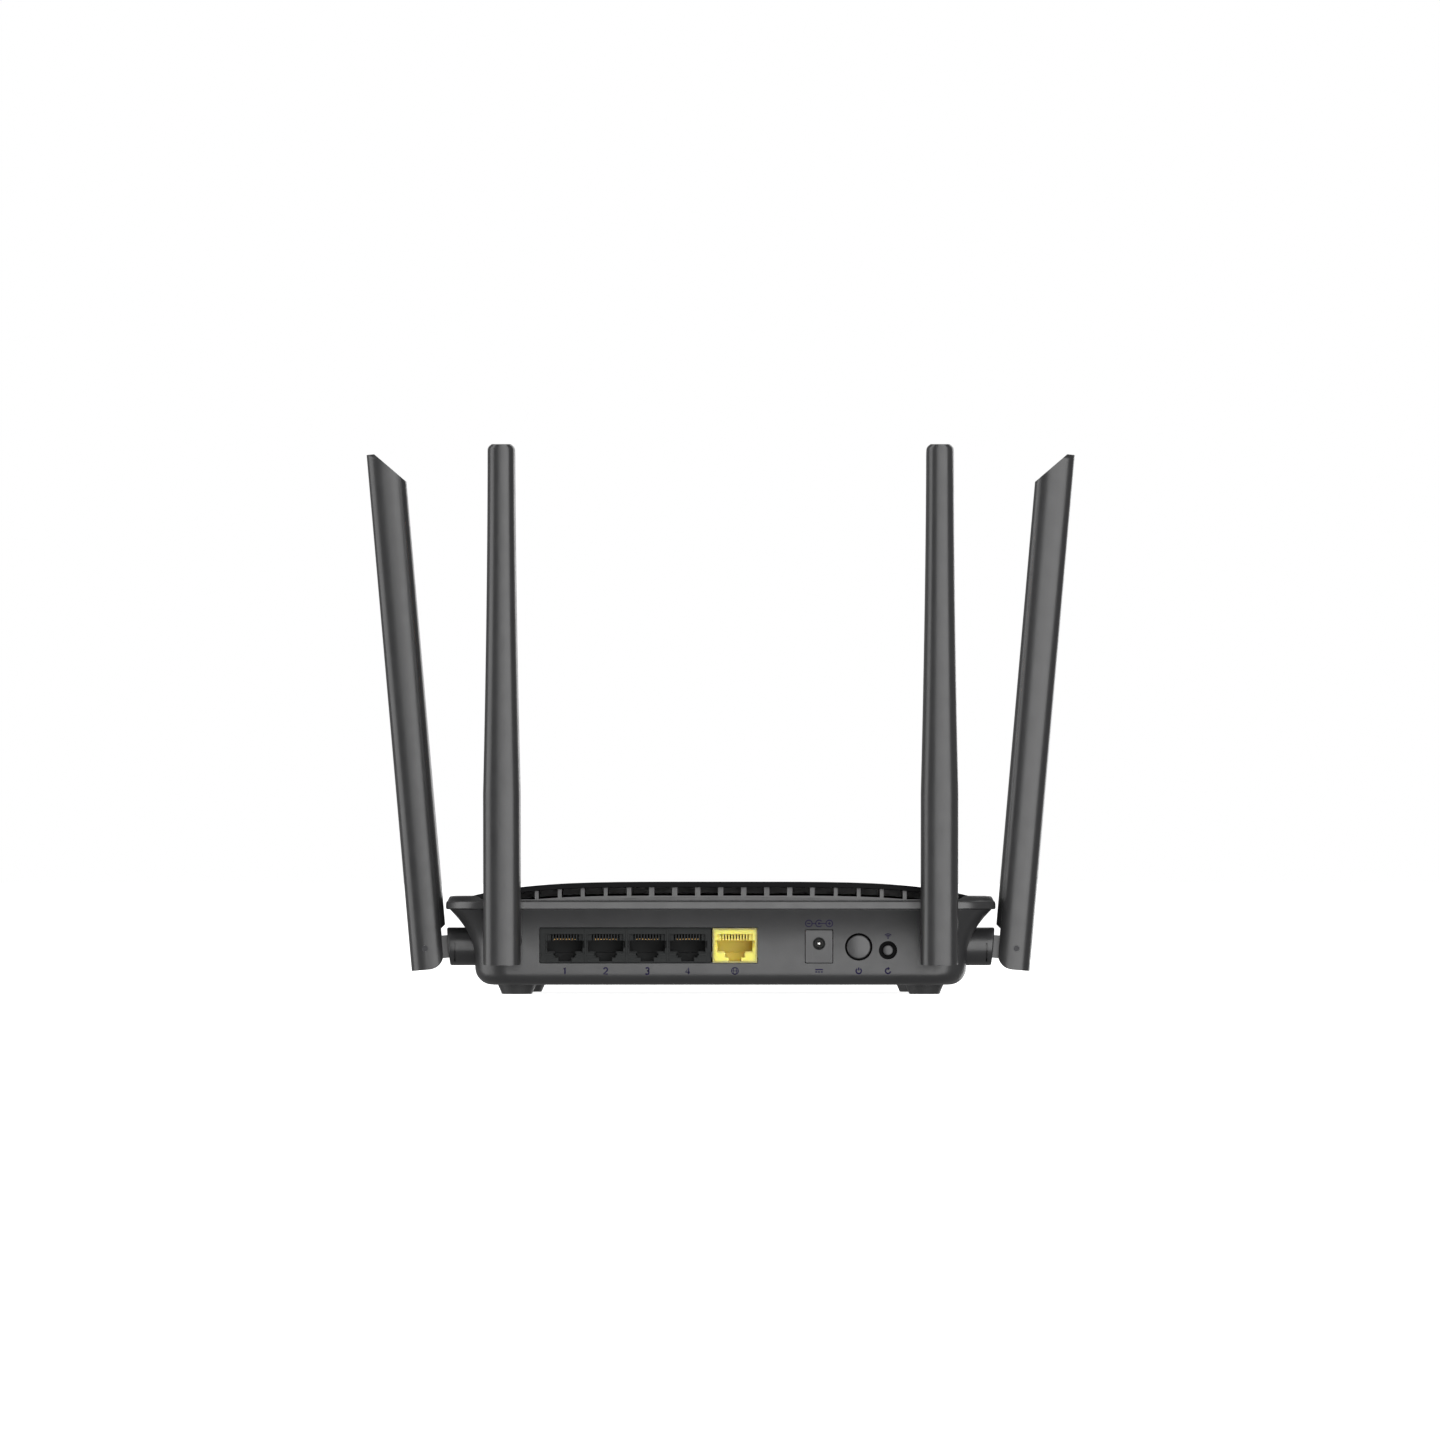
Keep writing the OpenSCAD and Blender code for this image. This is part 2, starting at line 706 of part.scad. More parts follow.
module transformers() {
    color(black) for (x = [-46, -18]) translate([x - 8, panel_y + 22, board_top]) cube([16, 9, 6]);
    color(black) translate([wan_x - 4, panel_y + 22, board_top]) cube([9, 9, 5]);
}

module capacitors() {
    color("darkslategray") for (p = [[24, 24], [24, 34], [36, 32], [-32, 44]])
        translate([p[0], panel_y + p[1], board_top]) cylinder(r = 3.15, h = 8, $fn = 32);
}

module inductor() {
    color("dimgray") translate([40, panel_y + 42, board_top]) {
        difference() {
            cube([7, 7, 3.5]);
            translate([3.5, 3.5, 3]) cylinder(r = 2, h = 1);
        }
    }
}

module crystal() {
    color(metal) translate([-22, panel_y + 50, board_top]) cube([5, 3.2, 0.9]);
}

module indicator_leds() {
    color("honeydew") for (x = led_xs) translate([x - 0.8, window_y - 0.6, board_top]) cube([1.6, 1.2, 0.8]);
}

lead_r = 0.57;
lead_sides = 8;

// Unit vector along v
function unit(v) = v / norm(v);

// Direction of a lead at its point k
function heading(points, k) = unit(points[min(k + 1, len(points) - 1)] - points[max(k - 1, 0)]);

// A thin lead swept through a few points
module lead(points) {
    last = len(points) - 1;
    ring = [for (k = [0:last]) let (
            t = heading(points, k), u = unit(cross(t, [0, 0, 1])), v = cross(u, t)
        ) for (i = [0:lead_sides - 1]) let (a = 360 * i / lead_sides)
            points[k] + lead_r * (u * cos(a) + v * sin(a))];
    sides = [for (k = [0:last - 1]) for (i = [0:lead_sides - 1]) let (j = (i + 1) % lead_sides)
        [k * lead_sides + i, k * lead_sides + j, (k + 1) * lead_sides + j, (k + 1) * lead_sides + i]];
    start = [[for (i = [lead_sides - 1:-1:0]) i]];
    end = [[for (i = [0:lead_sides - 1]) last * lead_sides + i]];
    polyhedron(points = ring, faces = concat(sides, start, end), convexity = 4);
}

// Leads from the board to the inside of each stub
module coax_leads() {
    stub_in = stub_len - 3;
    color("black") for (s = [-1, 1]) {
        lead([
            [s * rear_stub_x, rear_stub_y + stub_in, rear_stub_z],
            [s * rear_stub_x, panel_y + 12, rear_stub_z],
            [s * 71, panel_y + 17, rear_stub_z + 0.6],
            [s * 66, panel_y + 20, rear_stub_z + 1],
            [s * 61, panel_y + 29, rear_stub_z],
            [s * 56, panel_y + 38, rear_stub_z - 2],
            [s * 52, panel_y + 48, board_top + 3],
            [s * 50, panel_y + 55, board_top + lead_r]
        ]);
        lead([
            [s * (side_stub_x - stub_in), side_stub_y, side_stub_z],
            [s * 75, side_stub_y, side_stub_z],
            [s * 73, panel_y + 22, side_stub_z + 0.4],
            [s * 72, panel_y + 31, side_stub_z + 0.6],
            [s * 68, panel_y + 42, side_stub_z],
            [s * 60, panel_y + 51, board_top + 2.4],
            [s * 56, panel_y + 57, board_top + lead_r]
        ]);
    }
}

// ---------------------------------------------------------------- antennas

function arc(cx, cz, r, a0, a1, steps) = [for (i = [0:steps]) let (a = a0 + (a1 - a0) * i / steps)
    [cx + r * cos(a), cz + r * sin(a)]];

// Side view of a blade between two depths, in x and z
function blade_side(x0, x1) = let (
        flat_x = blade_x - tip_flat,
        low = blade_top - (flat_x - x0) * tip_slope
    ) concat(
        arc(x0 + foot_inner_r, foot_inner_r - blade_foot, foot_inner_r, 180, 270, 8),
        arc(x1 - foot_outer_r, foot_outer_r - blade_foot, foot_outer_r, 270, 360, 4),
        [[x1, blade_top], [min(x1, flat_x), blade_top], [x0, low]]
    );

// Half the width of a blade at height z
function blade_half(z) = let (t = max(0, z - blade_taper_z) / (blade_top - blade_taper_z))
    (blade_tip_w + (blade_w - blade_tip_w) * pow(1 - t, blade_taper_power)) / 2;

// Front view of a blade, in y and z
function blade_front() = let (
        w = blade_w / 2, t = blade_tip_w / 2, shoulder = blade_top - tip_corner[1],
        zs = [for (i = [0:blade_taper_steps])
            blade_taper_z + (shoulder - blade_taper_z) * i / blade_taper_steps]
    ) concat(
        [[-w, -blade_foot], [w, -blade_foot]],
        [for (z = zs) [blade_half(z), z]],
        [[t - tip_corner[0], blade_top], [tip_corner[0] - t, blade_top]],
        [for (i = [blade_taper_steps:-1:0]) [-blade_half(zs[i]), zs[i]]]
    );

// Section of a closed blade, cover included, in x and y
function signed_power(v, p) = sign(v) * pow(abs(v), p);
function blade_section() = let (half_x = (blade_x - skin_gap) / 2, p = 2 / blade_power)
    [for (i = [0:blade_section_steps - 1]) let (a = 360 * i / blade_section_steps) [
        skin_gap + half_x + half_x * signed_power(cos(a), p),
        blade_w / 2 * signed_power(sin(a), p)
    ]];

module blade_form(side) {
    intersection() {
        translate([0, blade_w / 2, 0]) rotate([90, 0, 0]) linear_extrude(blade_w) polygon(side);
        rotate([90, 0, 90]) linear_extrude(blade_x + 5) polygon(blade_front());
        translate([0, 0, -blade_foot - 1]) linear_extrude(blade_top + blade_foot + 2)
            polygon(blade_section());
    }
}

module antenna_stub() {
    color(plastic) difference() {
        union() {
            intersection() {
                along_x(stub_r, -stub_len, 2);
                rotate([0, lean, 0]) translate([-40, -20, -20]) cube([40, 40, 40]);
            }
            rotate([0, lean, 0]) {
                translate([-1.5, -tongue_w / 2, -tongue_h / 2]) cube([pin_reach + 1.5, tongue_w, tongue_h]);
                translate([pin_reach, 0, 0]) along_y(tongue_h / 2, -tongue_w / 2, tongue_w / 2);
            }
        }
        rotate([0, lean, 0]) translate([pin_reach, 0, 0]) along_y(pin_r + 0.04, -tongue_w, tongue_w);
        along_x(lead_bore_r, -stub_len - 1, -3);
        difference() {
            along_x(stub_r + 1, -groove_x - clip_t / 2 - 0.05, -groove_x + clip_t / 2 + 0.05);
            along_x(groove_r, -groove_x - 2, -groove_x + 2);
        }
    }
}

// Open ring that keeps the stub in its sleeve
module antenna_retainer() {
    color(metal) difference() {
        along_x(clip_r, -groove_x - clip_t / 2, -groove_x + clip_t / 2);
        along_x(groove_r, -groove_x - 1, -groove_x + 1);
        translate([-groove_x - 1, -3, 0]) cube([2, 6, 12]);
    }
}

module antenna_blade() {
    color(plastic) rotate([0, lean, 0]) difference() {
        blade_form(blade_side(fork_x, blade_x));
        blade_hollow();
        translate([pin_reach, 0, 0]) {
            along_y(pin_r, -blade_w, blade_w);
            along_y(tongue_h / 2 + tongue_clear, -tongue_w / 2 - fork_gap, tongue_w / 2 + fork_gap);
            translate([-20, -tongue_w / 2 - fork_gap, -20])
                cube([20, tongue_w + 2 * fork_gap, 20 + tongue_h / 2 + tongue_clear]);
            translate([-1, -tongue_w / 2 - fork_gap, -20])
                cube([1 + tongue_h / 2 + tongue_clear, tongue_w + 2 * fork_gap, 20]);
        }
    }
}

// The hollow that the cover closes
module blade_hollow() {
    foot_z = 8;
    hollow_d = blade_d - skin - 1;
    t = blade_tip_w / 2 - skin;
    w = t + 1;                              // the hollow narrows upwards inside the taper
    top_z = blade_top - (blade_x - tip_flat - fork_x) * tip_slope - skin;
    intersection() {
        translate([fork_x - 1, -blade_w / 2, foot_z]) cube([hollow_d + 1, blade_w, top_z - foot_z]);
        rotate([90, 0, 90]) linear_extrude(blade_x)
            polygon([[-w, foot_z - 1], [w, foot_z - 1], [w, blade_taper_z + 10], [t, blade_top],
                [-t, blade_top], [-w, blade_taper_z + 10]]);
    }
}

// Crowned cover over the open inner face of a blade
module antenna_cover() {
    top_z = blade_top - (blade_x - tip_flat - fork_x) * tip_slope;
    side = [[skin_gap, cover_foot_z + 1.3], [fork_x, cover_foot_z],
            [fork_x, top_z], [skin_gap, top_z - cover_t * tip_slope]];
    color(plastic) rotate([0, lean, 0]) blade_form(side);
}

module antenna_hinge_pin() {
    half = blade_w / 2 - 0.15;
    color(metal) rotate([0, lean, 0]) translate([pin_reach, 0, 0]) along_y(pin_r, -half, half);
}

// Printed strip that radiates, against the cover
module antenna_radiator() {
    color(gold) rotate([0, lean, 0]) translate([fork_x, -radiator[1] / 2, 18]) cube(radiator);
}

base_shell();
top_shell();
top_plate();
indicator_window();
light_guide();
feet();
case_screws();
circuit_board();
board_screws();
lan_socket();
lan_contacts();
wan_socket();
wan_contacts();
power_inlet();
power_inlet_pin();
power_button();
power_plunger();
power_switch();
reset_button();
reset_plunger();
reset_switch();
shield_can();
heat_sink();
thermal_pad();
processor_chip();
memory_chips();
transformers();
capacitors();
inductor();
crystal();
indicator_leds();
coax_leads();
for (a = ANTENNAS) antenna_frame(a) {
    antenna_stub();
    antenna_retainer();
    antenna_blade();
    antenna_cover();
    antenna_hinge_pin();
    antenna_radiator();
}
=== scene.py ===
import json
import math

import bmesh
import bpy
from mathutils import Matrix, Vector


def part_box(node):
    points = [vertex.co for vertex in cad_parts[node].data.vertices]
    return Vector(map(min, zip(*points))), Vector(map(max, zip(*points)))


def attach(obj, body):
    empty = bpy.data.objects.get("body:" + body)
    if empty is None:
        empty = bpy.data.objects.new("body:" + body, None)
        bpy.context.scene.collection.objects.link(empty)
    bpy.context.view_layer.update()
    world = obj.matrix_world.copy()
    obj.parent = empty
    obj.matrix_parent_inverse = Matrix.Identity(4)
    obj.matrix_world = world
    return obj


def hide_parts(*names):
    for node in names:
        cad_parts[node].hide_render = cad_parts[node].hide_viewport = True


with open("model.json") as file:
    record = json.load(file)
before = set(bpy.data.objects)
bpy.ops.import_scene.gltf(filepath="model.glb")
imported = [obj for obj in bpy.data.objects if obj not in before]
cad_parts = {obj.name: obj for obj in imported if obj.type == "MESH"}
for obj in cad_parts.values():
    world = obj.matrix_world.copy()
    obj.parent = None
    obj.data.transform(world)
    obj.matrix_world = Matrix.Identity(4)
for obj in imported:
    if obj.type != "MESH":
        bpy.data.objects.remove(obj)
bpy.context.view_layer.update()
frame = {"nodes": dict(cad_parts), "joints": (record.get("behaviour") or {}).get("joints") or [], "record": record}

MM = 0.001


def node_box(node):
    """Corners of a CAD node's box."""
    low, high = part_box(node)
    return low / MM, high / MM


# ------------------------------------------------------------------ sizes, in millimetres

SHELL_LOW, SHELL_HIGH = node_box("top_shell")
BASE_LOW, BASE_HIGH = node_box("base_shell")
PLATE_LOW, PLATE_HIGH = node_box("top_plate")
LAN_LOW, LAN_HIGH = node_box("lan_socket")
WAN_LOW, WAN_HIGH = node_box("wan_socket")
INLET_LOW, INLET_HIGH = node_box("power_inlet")
INLET_PIN_LOW, INLET_PIN_HIGH = node_box("power_inlet_pin")
POWER_LOW, POWER_HIGH = node_box("power_button")
RESET_LOW, RESET_HIGH = node_box("reset_button")
FEET_LOW, FEET_HIGH = node_box("feet")
WINDOW_LOW, WINDOW_HIGH = node_box("indicator_window")
SCREWS_LOW, SCREWS_HIGH = node_box("case_screws")

LAN_SUNK = 0.2                       # the four-socket block lies this far behind the panel
HALF_W = SHELL_HIGH.x
RIM_BACK, RIM_FRONT = SHELL_LOW.y, SHELL_HIGH.y
PANEL_Y = LAN_LOW.y - LAN_SUNK
RIM_OVER = PANEL_Y - RIM_BACK
BASE_Z, SEAM_Z = BASE_LOW.z, BASE_HIGH.z
CROWN_Z = PLATE_HIGH.z
PLATE_HALF = PLATE_HIGH.x
PLATE_BACK, PLATE_FRONT = PLATE_LOW.y, PLATE_HIGH.y

WALL = 2.2
BASE_LOW_W = HALF_W - 10.0           # half-width of the base low down
FLARE_Z = 12.0                       # the base flares above this
SIDE_FLARE, END_FLARE = (8.73, 17.1), (3.2, 16.6)
SIDE_FILLET, END_FILLET = 6.0, 4.4
BACK_CORNER, FRONT_CORNER = 11.0, 22.0
RIM_TOP = 31.8
WING_TOP = 33.5
VENT_BACK = RIM_BACK + 5.0
VENT_HALF = 80.0
PLATE_T = 1.85
CROWN_FALL, CROWN_POWER = 4.8, 4.5
FALL_FROM, FRONT_FALL = 10.0, 3.2
RIB_PITCH = 7.85
RIBS_SIDE = 8
RIB_W = (1.8, 1.3)                   # ribs in the middle and at the ends
VENT_H = 2.85
SLOT_DEEP = 45.0                     # the openings run on under the plate
TROUGH_HALF, TROUGH_Z = 71.0, 32.0   # the level ledge in front of the vents
PORT_GAP = 0.2
POWER_HOLE_R, RESET_HOLE_R = 4.7, 3.13
POWER_R, RESET_R = 4.05, 1.7         # the caps
FLANGE = (0.45, 2.5, 3.3)            # over the hole, and from where to where behind the panel
BORE_R = 6.56
SCREW_HEAD_R = 2.6

# Sockets
JACK_XS = [-53.2, -39.3, -25.1, -11.3]
JACK_W, JACK_H, JACK_DROP, JACK_DEEP = 12.0, 6.4, 2.1, 14.5
JACK_NICK = (0.7, 2.2, 4.6, 3.0)     # notches in the sides: width, from and to below the top, depth
JACK_STEP = (3.35, 1.55)             # half-width and drop of the wide step, then of the tab's way
JACK_TAB = (2.15, 2.85)
CONTACTS, CONTACT_PITCH, CONTACT_GAP, COMB_H = 10, 1.0, 0.46, 2.2

# Antennas, in a frame with x outward along the stub and z up from the stub's end
LEAN = math.radians(5)
SKIN_GAP, COVER_T, BLADE_D = 0.5, 1.6, 11.2
FORK_X = SKIN_GAP + COVER_T
BLADE_X = FORK_X + BLADE_D
BLADE_W, BLADE_TIP_W = 12.8, 9.4
BLADE_FOOT, BLADE_TOP = 7.35, 170.0
TAPER_Z, TAPER_POWER = 51.0, 1.7
FOOT_INNER_R, FOOT_OUTER_R = 5.0, 0.4
TIP_FLAT, TIP_SLOPE = 2.66, 1.018
TIP_CORNER = (1.2, 1.8)
SECTION_POWER = 2.8
STUB_R, STUB_LEN, PIN_REACH, PIN_R = 6.5, 16.5, 8.0, 1.0
TONGUE_W, TONGUE_H = 5.0, 7.8
GROOVE_X, GROOVE_R, CLIP_T = 14.9, 5.2, 1.0
COVER_FOOT_Z = 6.3
TURN = {"rear_left": -90, "rear_right": -90, "side_left": 180, "side_right": 0}


# ------------------------------------------------------------------ mesh helpers

def make(name, verts, faces):
    """A mesh object in millimetres with its faces turned outwards."""
    mesh = bpy.data.meshes.new(name)
    mesh.from_pydata([tuple(v) for v in verts], [], faces)
    work = bmesh.new()
    work.from_mesh(mesh)
    bmesh.ops.recalc_face_normals(work, faces=work.faces)
    work.to_mesh(mesh)
    work.free()
    obj = bpy.data.objects.new(name, mesh)
    bpy.context.scene.collection.objects.link(obj)
    return obj


def loft(name, rings, loop=False):
    """A closed skin through rings of equal length; a loop joins the last ring to the first."""
    n = len(rings[0])
    count = len(rings)
    verts = [p for ring in rings for p in ring]
    spans = count if loop else count - 1
    faces = [
        (k * n + i, k * n + (i + 1) % n, (k + 1) % count * n + (i + 1) % n, (k + 1) % count * n + i)
        for k in range(spans) for i in range(n)
    ]
    if not loop:
        faces.append(tuple(range(n - 1, -1, -1)))
        faces.append(tuple((count - 1) * n + i for i in range(n)))
    return make(name, verts, faces)


def prism(name, points, place, start, end):
    """An outline of (u, v) points carried from depth start to depth end by place(u, v, depth)."""
    return loft(name, [[place(u, v, d) for u, v in points] for d in (start, end)])


def facing_y(u, v, d):
    return (u, d, v)


def facing_z(u, v, d):
    return (u, v, d)


def rectangle(u0, u1, v0, v1, r=0.0, steps=4):
    """A rectangle with corners of radius r."""
    if not r:
        return [(u0, v0), (u1, v0), (u1, v1), (u0, v1)]
    points = []
    corners = ((u1 - r, v0 + r, 270), (u1 - r, v1 - r, 0), (u0 + r, v1 - r, 90), (u0 + r, v0 + r, 180))
    for cu, cv, start in corners:
        points += arc(cu, cv, r, start, start + 90, steps)
    return points


def arc(cu, cv, r, start, end, steps):
    angles = [math.radians(start + (end - start) * i / steps) for i in range(steps + 1)]
    return [(cu + r * math.cos(a), cv + r * math.sin(a)) for a in angles]


def circle(cu, cv, r, steps=48):
    return arc(cu, cv, r, 0, 360, steps)[:-1]


def box(name, low, high, r=0.0):
    return prism(name, rectangle(low[0], high[0], low[2], high[2], r), facing_y, low[1], high[1])


def turned_angles(steps):
    return [2 * math.pi * i / steps for i in range(steps)]


def lathe_y(name, cx, cz, profile, steps=64, loop=False):
    """A solid of revolution about a line along Y; profile is a list of (y, radius)."""
    rings = [[(cx + r * math.cos(a), y, cz + r * math.sin(a)) for a in turned_angles(steps)]
             for y, r in profile]
    return loft(name, rings, loop)


def join(name, objects):
    """One object from several, each staying a closed solid of its own."""
    work = bmesh.new()
    for obj in objects:
        work.from_mesh(obj.data)
        old = obj.data
        bpy.data.objects.remove(obj)
        bpy.data.meshes.remove(old)
    mesh = bpy.data.meshes.new(name)
    work.to_mesh(mesh)
    work.free()
    joined = bpy.data.objects.new(name, mesh)
    bpy.context.scene.collection.objects.link(joined)
    return joined


def combine(target, tool, operation):
    """Applies one exact boolean with tool, which is used up."""
    step = target.modifiers.new("step", "BOOLEAN")
    step.operation = operation
    step.solver = "EXACT"
    step.object = tool
    graph = bpy.context.evaluated_depsgraph_get()
    result = bpy.data.meshes.new_from_object(target.evaluated_get(graph))
    target.modifiers.clear()
    old, old_tool = target.data, tool.data
    target.data = result
    bpy.data.meshes.remove(old)
    bpy.data.objects.remove(tool)
    bpy.data.meshes.remove(old_tool)
    return target


def cut(target, *tools):
    return combine(target, join("tool", tools) if len(tools) > 1 else tools[0], "DIFFERENCE")


def settle(obj, body, slot, replaces=(), edge=0.0, sharp=32, matrix=None, segments=2):
    """Puts a finished shape on its body, in metres, smooth with crisp or rounded edges."""
    if matrix is not None:
        obj.data.transform(matrix)
    obj.data.transform(Matrix.Scale(MM, 4))
    obj.data.materials.clear()
    obj.data.materials.append(FINISHES[slot])
    for face in obj.data.polygons:
        face.use_smooth = True
        face.material_index = 0
    if edge:
        bevel = obj.modifiers.new("edges", "BEVEL")
        bevel.width = edge * MM
        bevel.segments = segments
        bevel.limit_method = "ANGLE"
        bevel.angle_limit = math.radians(sharp)
        bevel.use_clamp_overlap = True
        bevel.harden_normals = True
    obj.data.set_sharp_from_angle(angle=math.radians(sharp))
    if not edge:
        weighted = obj.modifiers.new("shading", "WEIGHTED_NORMAL")
        weighted.keep_sharp = True
    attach(obj, body)
    if replaces:
        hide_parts(*replaces)
    return obj


# ------------------------------------------------------------------ finishes

class Finish:
    """A procedural material: its shader, and short ways to wire noise into it."""

    def __init__(self, name, colour, roughness, metallic=0.0, specular=0.5):
        self.material = bpy.data.materials.new(name)
        self.material.use_nodes = True
        self.nodes = self.material.node_tree.nodes
        self.links = self.material.node_tree.links
        self.shader = self.nodes["Principled BSDF"]
        self.shader.inputs["Metallic"].default_value = metallic
        self.shader.inputs["Specular IOR Level"].default_value = specular
        self.place = self.nodes.new("ShaderNodeTexCoord").outputs["Object"]
        self.colour = colour
        self.roughness = roughness
        self.heights = []

    def socket(self, name):
        return self.shader.inputs[name]

    def stretched(self, scale):
        mapping = self.nodes.new("ShaderNodeMapping")
        mapping.inputs["Scale"].default_value = scale
        self.links.new(self.place, mapping.inputs["Vector"])
        return mapping.outputs["Vector"]

    def noise(self, size_mm, detail=2.0, stretch=None):
        """Noise with features of about size_mm."""
        node = self.nodes.new("ShaderNodeTexNoise")
        node.inputs["Scale"].default_value = 1 / (size_mm * MM)
        node.inputs["Detail"].default_value = detail
        self.links.new(self.stretched(stretch) if stretch else self.place, node.inputs["Vector"])
        return node.outputs["Fac"]

    def spread(self, value, low, high, from_low=0.3, from_high=0.7):
        node = self.nodes.new("ShaderNodeMapRange")
        node.inputs["From Min"].default_value = from_low
        node.inputs["From Max"].default_value = from_high
        node.inputs["To Min"].default_value = low
        node.inputs["To Max"].default_value = high
        self.links.new(value, node.inputs["Value"])
        return node.outputs["Result"]

    def tint(self, factor, first, second):
        node = self.nodes.new("ShaderNodeMix")
        node.data_type = "RGBA"
        node.inputs[6].default_value = (*first, 1)
        node.inputs[7].default_value = (*second, 1)
        self.links.new(factor, node.inputs[0])
        return node.outputs[2]

    def mottle(self, size_mm=9.0, amount=0.08):
        """Slight drift of colour and gloss over the surface, as in moulded plastic."""
        drift = self.spread(self.noise(size_mm, 4.0), 0.0, 1.0)
        darker = tuple(c * (1 - amount) for c in self.colour)
        lighter = tuple(c * (1 + amount) for c in self.colour)
        self.links.new(self.tint(drift, darker, lighter), self.socket("Base Color"))
        gloss = self.spread(self.noise(size_mm * 0.6, 3.0), self.roughness - 0.03, self.roughness + 0.04)
        self.links.new(gloss, self.socket("Roughness"))
        return self

    def grain(self, size_mm, depth_mm, stretch=None, detail=2.0):
        """Raised texture with features of size_mm; several calls add up."""
        bump = self.nodes.new("ShaderNodeBump")
        bump.inputs["Distance"].default_value = depth_mm * MM
        bump.inputs["Strength"].default_value = 1.0
        self.links.new(self.noise(size_mm, detail, stretch), bump.inputs["Height"])
        if self.heights:
            self.links.new(self.heights[-1], bump.inputs["Normal"])
        self.heights.append(bump.outputs["Normal"])
        self.links.new(self.heights[-1], self.socket("Normal"))
        return self


def moulded(name, colour, roughness, grain_mm=0.35, depth_mm=0.006, amount=0.08, specular=0.5):
    finish = Finish(name, colour, roughness, specular=specular).mottle(amount=amount)
    return finish.grain(grain_mm, depth_mm).grain(grain_mm * 5, depth_mm * 1.2).material


def translucent(name, colour, roughness, reach_mm, specular=0.3):
    """A plastic that light soaks into, so that its hollows stay bright."""
    finish = Finish(name, colour, roughness, specular=specular).mottle(amount=0.04)
    finish.socket("Subsurface Weight").default_value = 0.8
    finish.socket("Subsurface Radius").default_value = (1.0, 0.75, 0.2)
    finish.socket("Subsurface Scale").default_value = reach_mm * MM
    return finish.grain(0.25, 0.003).material


def metal(name, colour, roughness, brushed=(1, 1, 1), size_mm=0.25, depth_mm=0.003):
    finish = Finish(name, colour, roughness, metallic=1.0).mottle(4.0, 0.10)
    return finish.grain(size_mm, depth_mm, brushed).material


def clear(name, colour, roughness, through=0.9):
    finish = Finish(name, colour, roughness).mottle(6.0, 0.03)
    finish.socket("Transmission Weight").default_value = through
    finish.socket("IOR").default_value = 1.49
    return finish.grain(0.8, 0.002).material


def solder_mask(name, colour):
    """Green board with slightly lighter tracks under the mask."""
    finish = Finish(name, colour, 0.38)
    tracks = finish.nodes.new("ShaderNodeTexBrick")
    tracks.inputs["Scale"].default_value = 1 / (14 * MM)
    tracks.inputs["Mortar Size"].default_value = 0.035
    tracks.inputs["Color1"].default_value = (*colour, 1)
    tracks.inputs["Color2"].default_value = (*(c * 0.85 for c in colour), 1)
    tracks.inputs["Mortar"].default_value = (*(c * 1.8 for c in colour), 1)
    finish.links.new(finish.place, tracks.inputs["Vector"])
    finish.links.new(tracks.outputs["Color"], finish.socket("Base Color"))
    gloss = finish.spread(finish.noise(5.0), 0.30, 0.45)
    finish.links.new(gloss, finish.socket("Roughness"))
    return finish.grain(0.8, 0.01).material


GREY = (0.020, 0.020, 0.0207)
FINISHES = {
    "case_plastic": moulded("case_plastic", GREY, 0.34),
    "plate_plastic": moulded("plate_plastic", (0.004, 0.004, 0.0044), 0.40, 0.60, 0.002, 0.04, specular=0.04),
    "antenna_plastic": moulded("antenna_plastic", (0.019, 0.019, 0.0197), 0.31, 1.0, 0.002, 0.05),
    "window_plastic": moulded("window_plastic", (0.012, 0.012, 0.014), 0.12, 2.0, 0.002),
    "light_guide": clear("light_guide", (0.92, 0.94, 0.95), 0.15),
    "foot_rubber": moulded("foot_rubber", (0.018, 0.018, 0.0185), 0.55, 0.5, 0.01, 0.15),
    "screw_steel": metal("screw_steel", (0.55, 0.55, 0.56), 0.34),
    "board": solder_mask("board", (0.012, 0.10, 0.045)),
    "socket_black": moulded("socket_black", (0.014, 0.015, 0.015), 0.42, 0.25, 0.003, specular=0.10),
    "socket_yellow": translucent("socket_yellow", (0.96, 0.74, 0.12), 0.45, 8.0),
    "contact_gold": metal("contact_gold", (0.36, 0.22, 0.09), 0.38, (1, 0.05, 1)),
    "inlet_plastic": moulded("inlet_plastic", (0.024, 0.024, 0.025), 0.36),
    "inlet_steel": metal("inlet_steel", (0.85, 0.84, 0.82), 0.12),
    "button_plastic": moulded("button_plastic", (0.029, 0.029, 0.030), 0.34, 0.30, 0.002),
    # near-black; on the flanges behind the buttons this colour is painted shade in the gaps round the caps
    "switch_plastic": moulded("switch_plastic", (0.004, 0.004, 0.0043), 0.55, specular=0.06),
    "plunger_plastic": moulded("plunger_plastic", (0.62, 0.61, 0.57), 0.40, 0.4, 0.004, 0.05),
    "can_steel": metal("can_steel", (0.62, 0.61, 0.59), 0.30, (1, 0.08, 1), 0.4),
    "sink_aluminium": metal("sink_aluminium", (0.74, 0.75, 0.76), 0.38, (1, 0.03, 1), 0.5),
    "pad_rubber": moulded("pad_rubber", (0.42, 0.45, 0.50), 0.65, 0.4, 0.01),
    "chip_plastic": moulded("chip_plastic", (0.018, 0.018, 0.019), 0.55, 0.2, 0.008),
    "can_aluminium": metal("can_aluminium", (0.66, 0.66, 0.67), 0.30, (1, 1, 0.1)),
    "ferrite": moulded("ferrite", (0.035, 0.035, 0.037), 0.6, 0.3, 0.02),
    "led": clear("led", (0.85, 0.90, 0.78), 0.2, 0.5),
    "lead_jacket": moulded("lead_jacket", (0.018, 0.018, 0.019), 0.38, 0.6, 0.004),
    "pin_steel": metal("pin_steel", (0.038, 0.038, 0.040), 0.45),
    "copper": metal("copper", (0.72, 0.38, 0.20), 0.30),
}
RIM = moulded("rim_plastic", GREY, 0.32, specular=0.60)
